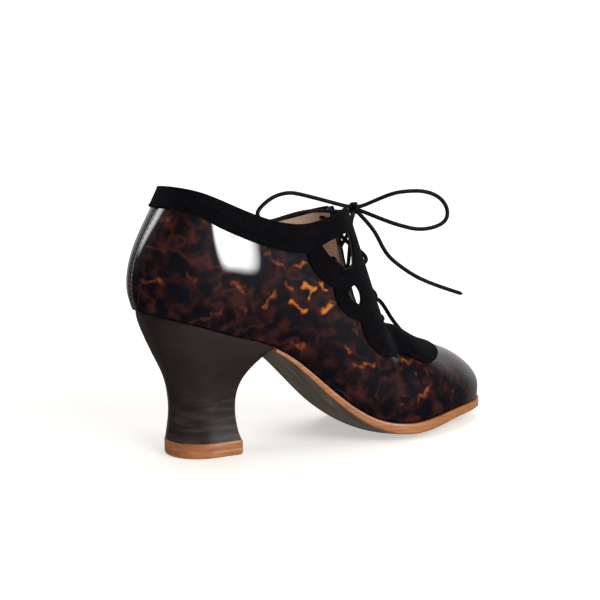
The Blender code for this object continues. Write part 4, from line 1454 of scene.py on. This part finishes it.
tie(lace_tube("lacing_over", lacing_run(0, CROSS_LIFT)), "waxed_lace", "lace_crossings")
tie(lace_tube("lacing_under", lacing_run(1, -CROSS_LIFT)), "waxed_lace", "lace_crossings")
tie(lace_tube("lacing_first", lowest_strand()), "waxed_lace")
print("lacing in two halves and a first strand")

# %% [markdown]
# ## Sole leather, heel paint and the worn waist
# The edge of the sole and the lift are waxed tan leather with a faint layered grain. Under the waist the sole
# was painted dark grey and has gone dull and streaky with use. The heel is painted wood with a satin sheen,
# and its colour turns lighter in streaks low on its neck.

# %% Sole and heel finishes
TAN = [(0.28, (0.29, 0.098, 0.028)), (0.55, (0.42, 0.158, 0.049)), (0.80, (0.49, 0.205, 0.070))]
DULL = [(0.30, (0.052, 0.044, 0.033)), (0.55, (0.100, 0.084, 0.062)), (0.80, (0.190, 0.155, 0.110))]
BARE = [(0.3, (0.16, 0.085, 0.040)), (0.7, (0.30, 0.170, 0.085))]
HEEL_BROWN = [(0.30, (0.0165, 0.0110, 0.0105)), (0.70, (0.0270, 0.0182, 0.0178))]
LOW_STREAK = (0.115, 0.100, 0.092, 1.0)
SCUFF_FROM, SCUFF_FULL = 0.012, 0.052
STREAK_FROM, STREAK_FULL = 0.042, 0.014


def stretched(tree, scale):
    """The shoe's coordinates scaled by axis, for grain and streaks with a direction."""
    return add(tree, "Mapping", Vector=shoe_place(tree), Scale=scale).outputs["Vector"]


def tan_leather():
    finish, tree, shader = start_finish("tan_sole_leather", Roughness=0.46,
                                        Coat_Weight=0.12, Coat_Roughness=0.3)
    layers = noise(tree, stretched(tree, (90.0, 90.0, 900.0)), 1.0, 3, 0.6)
    cloud = noise(tree, shoe_place(tree), 120, 3)
    tan = ramp(tree, layers, TAN)
    tone = ramp(tree, cloud, [(0.3, (0.86, 0.82, 0.80)), (0.7, (1.08, 1.05, 1.0))])
    paint(tree, shader, blend_colour(tree, 1.0, tan, tone, "MULTIPLY"))
    bump(tree, shader, layers, depth=0.00012, strength=0.5)
    return finish


def worn_bottom():
    finish, tree, shader = start_finish("worn_sole_paint", Roughness=0.72)
    place = shoe_place(tree)
    rub = noise(tree, stretched(tree, (60.0, 260.0, 60.0)), 1.0, 4, 0.65)
    front = between(tree, axes(tree, place)["X"], SCUFF_FROM, SCUFF_FULL)
    scuffed = maths(tree, "MULTIPLY", front, between(tree, noise(tree, place, 90, 4, 0.7), 0.30, 0.62))
    bare = ramp(tree, noise(tree, place, 240, 4), BARE)
    paint(tree, shader, blend_colour(tree, scuffed, ramp(tree, rub, DULL), bare))
    bump(tree, shader, rub, depth=0.00025, strength=0.6)
    return finish


def heel_paint():
    finish, tree, shader = start_finish("satin_heel_paint", Roughness=0.36, Specular_IOR_Level=0.22)
    place = shoe_place(tree)
    brushed = noise(tree, stretched(tree, (50.0, 50.0, 420.0)), 1.0, 3, 0.6)
    colour = ramp(tree, noise(tree, place, 60, 3), HEEL_BROWN)
    # The colour turns lighter in streaks towards the foot of the heel.
    low = between(tree, axes(tree, place)["Z"], STREAK_FROM, STREAK_FULL)
    low_streaks = maths(tree, "MULTIPLY", low, between(tree, brushed, 0.46, 0.66))
    paint(tree, shader, blend_colour(tree, maths(tree, "MULTIPLY", low_streaks, 0.28), colour, LOW_STREAK))
    gloss = between(tree, brushed, 0.3, 0.75, 0.30, 0.48)
    tree.links.new(gloss, shader.inputs["Roughness"])
    bump(tree, shader, brushed, depth=0.00006, strength=0.5)
    return finish


tan = tan_leather()
worn = worn_bottom()
painted = heel_paint()
print("finishes", tan.name, worn.name, painted.name)

# %% [markdown]
# ## Outsole
# A leather sole is cut with a straight edge, and its bottom is rounded across so that the shoe rolls. The
# rings run across the foot: along the flat top, round a softened edge, along the crowned bottom and up
# the other edge. The crown is clipped at the floor, which leaves the flat spot under the ball that the
# shoe stands on.

# %% Outsole
Tread = namedtuple("Tread", "along edge welt crown")
TREAD = [
    Tread(0.330, 0.0022, 0.0004, 0.0022),
    Tread(0.440, 0.0044, 0.0006, 0.0051),
    Tread(0.560, 0.0050, 0.0009, 0.0046),
    Tread(0.640, 0.0054, 0.0010, 0.0048),
    Tread(0.700, 0.0058, 0.0010, 0.0042),
    Tread(0.850, 0.0050, 0.0008, 0.0034),
    Tread(1.000, 0.0042, 0.0004, 0.0010),
]
HEEL_BREAST = 0.0700
EDGE_ROWS = 9
EDGE_ROUND = 0.00045
SOLE_COLUMNS = 56
BREAST_STEP = 0.002


def plan_section(along, grow, start, end):
    """x and the two edges of the foot outline at a share of its length, moved outwards by grow."""
    x = plan_point(along, 1, "foot")[0]
    x = start + (x - LENGTH * HEEL_INSET) * (end - start) / (LENGTH * (1 - TOE_INSET - HEEL_INSET))
    taper = min(1.0, end_rounding(along) * 4)
    inner = plan_point(along, 1, "foot")[1] + grow * taper
    outer = plan_point(along, -1, "foot")[1] - grow * taper
    return x, inner, outer


def sole_ring(along, edge, welt, crown):
    """One cross-section of the sole, from the outer top edge across, down, back and up."""
    grow = WALL + welt
    x, inner, outer = plan_section(along, grow, LENGTH * HEEL_INSET, LENGTH * (1 - TOE_INSET))
    x += grow * np.clip((along - TOE_ROUND) / (1 - TOE_ROUND), 0, 1) ** 2
    across = np.sin(np.linspace(-math.pi / 2, math.pi / 2, SOLE_COLUMNS))
    y = (inner + outer) / 2 + (inner - outer) / 2 * across
    top = base_height(min(x, LENGTH)) - GAP
    bottom = np.maximum(top - edge - crown * end_rounding(along) * (1 - across ** 2), 0.0)
    high = points_at(x, y, top)
    low = points_at(x, y, bottom)[::-1]
    drop = np.linspace(0, 1, EDGE_ROWS)[1:-1]
    tuck = EDGE_ROUND * min(1.0, end_rounding(along) * 3) * (np.abs(2 * drop - 1) ** 6)
    inner_edge = points_at(x, inner - tuck, top + (bottom[-1] - top) * drop)
    outer_edge = points_at(x, outer + tuck, top + (bottom[0] - top) * drop)[::-1]
    for row, inwards in ((high, EDGE_ROUND), (low, -EDGE_ROUND)):
        row[0, 1] += inwards
        row[-1, 1] -= inwards
    return np.concatenate([high, inner_edge, low, outer_edge])


def make_outsole():
    """The leather sole from the breast of the heel to the toe."""
    edge, welt, crown = (spline(TREAD, name) for name in Tread._fields[1:])
    breast = HEEL_BREAST + GAP
    first = (breast / LENGTH - HEEL_INSET) / (1 - TOE_INSET - HEEL_INSET)
    rows = stations(heel_steps=30, middle_steps=150, toe_steps=80)
    shares = [first] + [along for along in rows if along * LENGTH > breast + BREAST_STEP]
    rings = [sole_ring(along, edge(along), welt(along), crown(along)) for along in shares]
    points, faces = loft(rings)
    first_under = SOLE_COLUMNS + EDGE_ROWS - 2
    under = range(first_under, first_under + SOLE_COLUMNS - 1)
    slots = [int(i % len(rings[0]) in under) for i in range(len(faces))]
    return make_piece("leather_outsole", points, faces, [tan, worn], slots, weld=True, sharp=50)


tie(make_outsole(), "sole_leather", "outsole")

# %% [markdown]
# ## Spool heel and lift
# This heel is turned like a spool: wide at the seat, narrow at the neck and a little wider at the ground,
# with a flat breast at the front. A few rows give its back, front and half width at each height, and a
# spline through them makes the turned curve. The lift under it is two layers of sole leather with a line
# between them.

# %% Heel and lift
Spool = namedtuple("Spool", "rise back front half seat")
SPOOL = [
    Spool(0.00, 0.0182, 0.0526, 0.0190, 0.0),
    Spool(0.06, 0.0188, 0.0515, 0.0184, 0.0),
    Spool(0.14, 0.0196, 0.0506, 0.0178, 0.0),
    Spool(0.25, 0.0201, 0.0500, 0.0172, 0.0),
    Spool(0.37, 0.0195, 0.0502, 0.0171, 0.0),
    Spool(0.52, 0.0172, 0.0518, 0.0178, 0.05),
    Spool(0.68, 0.0125, 0.0560, 0.0196, 0.25),
    Spool(0.84, 0.0078, 0.0626, 0.0219, 0.60),
    Spool(1.00, 0.0027, 0.0700, 0.0240, 1.0),
]
LIFT_PROUD = 0.0005
HEEL_BACK_SHARE, HEEL_BACK_POWER = 0.625, 2.4
BREAST_ROUND = 0.0009
BREAST_ROWS = 14
Layer = namedtuple("Layer", "height grow")
LIFT_EDGE = [
    Layer(0.0, -0.0006),
    Layer(0.0003, -0.0002),
    Layer(0.0010, 0.0),
    Layer(0.0036, 0.0),
    Layer(0.0039, -0.00012),
    Layer(0.0042, 0.0),
    Layer(0.0072, 0.0),
    Layer(0.0078, -0.0002),
    Layer(LIFT_HEIGHT, -0.0005),
]


def heel_plan(row, points=44):
    """Plan of the heel at one height: round back, straight sides, flat breast with softened corners."""
    turn = HEEL_BACK_SHARE * (1 - np.cos(np.linspace(0, math.pi / 2, points)))
    straight = np.linspace(HEEL_BACK_SHARE, 1, 16)[1:]
    share = np.concatenate([turn, straight])
    x = row.back + (row.front - row.back) * share
    half = row.half * np.sqrt(1 - np.clip(1 - share / HEEL_BACK_SHARE, 0, 1) ** HEEL_BACK_POWER)
    along = np.clip((x / LENGTH - HEEL_INSET) / (1 - TOE_INSET - HEEL_INSET), 0, 1)
    rim = []
    for side in (-1, 1):
        seat = np.abs(plan_point(along, side, "foot")[1]) + (WALL - GAP) * np.minimum(share * 8, 1)
        y = half + (seat - half) * row.seat
        near = np.clip((x - row.front) / BREAST_ROUND + 1, 0, 1)
        y = y - BREAST_ROUND * (1 - np.sqrt(1 - near ** 2))
        rim.append(np.stack([x, side * y], 1))
    across = np.linspace(-1, 1, BREAST_ROWS)[1:-1]
    face = np.column_stack([np.full(len(across), row.front), across * rim[1][-1, 1]])
    return np.concatenate([rim[0], face, rim[1][:0:-1]])


def make_heel(rows=70):
    """The heel between the lift and the seat of the shoe."""
    curves = {name: spline(SPOOL, name) for name in Spool._fields[1:]}
    rings = []
    for rise in np.linspace(0, 1, rows):
        row = Spool(rise, *(float(curves[name](rise)) for name in Spool._fields[1:]))
        row = row._replace(seat=min(max(row.seat, 0.0), 1.0))
        plan = heel_plan(row)
        top = base_height(plan[:, 0]) - 2 * GAP - LIFT_HEIGHT
        rings.append(np.column_stack([plan, LIFT_HEIGHT + GAP / 3 + (top + GAP) * rise]))
    return make_piece("spool_heel", *loft(rings), [painted], weld=True, sharp=45)


def make_lift():
    """Two layers of leather with softened edges and a fine line between them."""
    row = SPOOL[0]
    rings = []
    for height, grow in LIFT_EDGE:
        out = LIFT_PROUD + grow
        plan = heel_plan(row._replace(back=row.back - out, front=row.front + out, half=row.half + out))
        rings.append(points_at(plan[:, 0], plan[:, 1], height))
    return make_piece("heel_lift", *loft(rings), [tan], weld=True, sharp=50)


tie(make_heel(), "heel_paint", "heel_block")
tie(make_lift(), "lift_leather", "top_lift")

# %% [markdown]
# ## Insole
# Inside lies a sock of lining leather, dished a little towards its edges. It shows only through the
# collar and the cut-outs, but from above it is what closes the shoe.

# %% Insole
INSOLE_THICKNESS = 0.0020
INSOLE_DISH = 0.0010


def make_insole(columns=20):
    """A thin sock that follows the seat, waist and forefoot inside the feather edge."""
    start = LENGTH * HEEL_INSET + 2 * GAP
    end = LENGTH * (1 - TOE_INSET) - 2 * GAP
    rings = []
    for along in stations(heel_steps=24, middle_steps=60, toe_steps=30):
        x, inner, outer = plan_section(along, -2 * GAP, start, end)
        share = np.linspace(-1, 1, columns)
        y = (inner + outer) / 2 + (inner - outer) / 2 * share
        base = base_height(x) + GAP
        low = points_at(x, y, base)
        high = points_at(x, y, base + INSOLE_THICKNESS + INSOLE_DISH * (share ** 4 - 0.5))
        rings.append(np.concatenate([low, high[::-1]]))
    return make_piece("sock_insole", *loft(rings), [lining], weld=True, sharp=50)


tie(make_insole(), "lining_leather", "insole")

# %% [markdown]
# ## Floor
# The shoe stands on a plain pale floor in front of a white ground. The floor glows a little, and more
# with distance, so that it runs into the white without a line. It is kept out of the reflections, because
# a pale floor would show on the patent as a grey veil.

# %% Floor
GLOW_FROM, GLOW_FULL = 0.05, 1.6
GLOW_NEAR, GLOW_FAR = 0.45, 0.95


def pale_floor():
    finish, tree, shader = start_finish("pale_floor", Roughness=0.6, Specular_IOR_Level=0.1,
                                        Base_Color=(0.80, 0.76, 0.70, 1.0),
                                        Emission_Color=(1.0, 0.985, 0.965, 1.0))
    distance = axes(tree, shoe_place(tree))["Y"]
    glow = between(tree, distance, GLOW_FROM, GLOW_FULL, GLOW_NEAR, GLOW_FAR)
    tree.links.new(glow, shader.inputs["Emission Strength"])
    return finish


FLOOR_SIZE = 60.0
FLOOR_SINK = np.array([0, 0, 0.0002])
corners = np.array([[-1, -1, 0], [1, -1, 0], [1, 1, 0], [-1, 1, 0]]) * FLOOR_SIZE / 2
floor = make_piece("studio_floor", corners - FLOOR_SINK, [[0, 1, 2, 3]], [pale_floor()])
floor.visible_glossy = False
print("floor", FLOOR_SIZE, "m across")

# %% [markdown]
# ## Soft boxes
# Patent leather shows its surroundings, so the light is planned as reflections: a soft box on the
# camera's right puts the bright window on the quarter, and a second one behind on the left draws the
# streak beside the back seam. Two more boxes give the plain light and don't show on the patent.

# %% Lights
SHOE_MIDDLE = (-0.05, 0.0, 0.10)
WINDOW_LEAN, WINDOW_TURN = 0.11, 0.435
WINDOW_LEFT = (0.40, 0.56)
WINDOW_RIGHT = (0.465, 0.345)
WINDOW_BOTTOM = (0.205, 0.36)


def soft_box(name, place, width, height, watts, sees):
    """A rectangular light that faces the shoe and gives either diffuse light or reflections."""
    data = bpy.data.lights.new(name, "AREA")
    data.shape = "RECTANGLE"
    data.size, data.size_y = width, height
    data.energy = watts
    light = bpy.data.objects.new(name, data)
    light.location = Vector(place)
    light.rotation_euler = (light.location - Vector(SHOE_MIDDLE)).to_track_quat("Z", "Y").to_euler()
    light.visible_camera = False
    light.visible_diffuse = sees == "diffuse"
    light.visible_glossy = sees == "glossy"
    bpy.context.scene.collection.objects.link(light)
    return light


def glow_nodes(light):
    """Node tree of a box's light, and the shares across and up the box."""
    light.data.use_nodes = True
    tree = light.data.node_tree
    across, up, _ = axes(tree, add(tree, "NewGeometry").outputs["Parametric"])
    return tree, across, up


def window_shape(light):
    """Only a part of the box glows, with soft edges on its left, right and bottom."""
    tree, across, up = glow_nodes(light)
    leaning = maths(tree, "ADD", across, maths(tree, "MULTIPLY", up, WINDOW_LEAN))
    turned = maths(tree, "SUBTRACT", across, maths(tree, "MULTIPLY", up, WINDOW_TURN))
    left, right = between(tree, leaning, *WINDOW_LEFT), between(tree, turned, *WINDOW_RIGHT)
    glow = maths(tree, "MULTIPLY", maths(tree, "MULTIPLY", left, right), between(tree, up, *WINDOW_BOTTOM))
    tree.links.new(glow, tree.nodes["Emission"].inputs["Strength"])


def soft_edges(light):
    """The box glows most in its middle, like a diffuser with one lamp behind it."""
    tree, across, up = glow_nodes(light)
    falls = []
    for share in (across, up):
        rest = maths(tree, "SUBTRACT", 4.0, maths(tree, "MULTIPLY", share, 4.0))
        falls.append(maths(tree, "MULTIPLY", share, rest))
    tree.links.new(maths(tree, "MULTIPLY", *falls), tree.nodes["Emission"].inputs["Strength"])


window_shape(soft_box("window_box", (0.36, -1.08, 0.24), 0.46, 0.50, 45, "glossy"))
soft_edges(soft_box("back_box", (-0.55, 0.78, 0.55), 0.34, 0.55, 5, "glossy"))
soft_box("key_box", (0.3, -1.3, 0.8), 1.2, 1.0, 21, "diffuse")
soft_box("top_box", (0.0, 0.2, 1.5), 1.6, 1.2, 15, "diffuse")
print("four soft boxes")

# %% [markdown]
# ## The room
# The camera sees white all round. For reflections and light only the ground behind the shoe is white,
# which greys the top of the toe. The side of the room behind the camera stays dark, or the dark leather
# would look milky.

# %% White ground behind, dark room in front
GROUND_TURN = 0.8
GROUND_FROM, GROUND_FULL = 0.74, 1.02
ROOM_GLOW, GROUND_GLOW = 0.05, 0.80
LEVEL_FROM, LEVEL_FULL, LOW_SHARE = -0.30, 0.10, 0.25


def studio_world():
    world = bpy.data.worlds.new("studio_world")
    bpy.context.scene.world = world
    world.use_nodes = True
    tree = world.node_tree
    surface = tree.nodes["Background"]
    seen = add(tree, "LightPath").outputs["Is Camera Ray"]
    x, y, z = axes(tree, add(tree, "TexCoord").outputs["Generated"])
    ahead = maths(tree, "ADD", y, maths(tree, "MULTIPLY", x, GROUND_TURN))
    behind = between(tree, ahead, GROUND_FROM, GROUND_FULL, ROOM_GLOW, GROUND_GLOW)
    above = between(tree, z, LEVEL_FROM, LEVEL_FULL, LOW_SHARE, 1.0)
    share = maths(tree, "MAXIMUM", seen, maths(tree, "MULTIPLY", behind, above))
    tree.links.new(share, surface.inputs["Strength"])
    surface.inputs["Color"].default_value = (1.0, 1.0, 1.0, 1.0)


studio_world()
bpy.context.scene.view_settings.view_transform = "Standard"
print("world set")
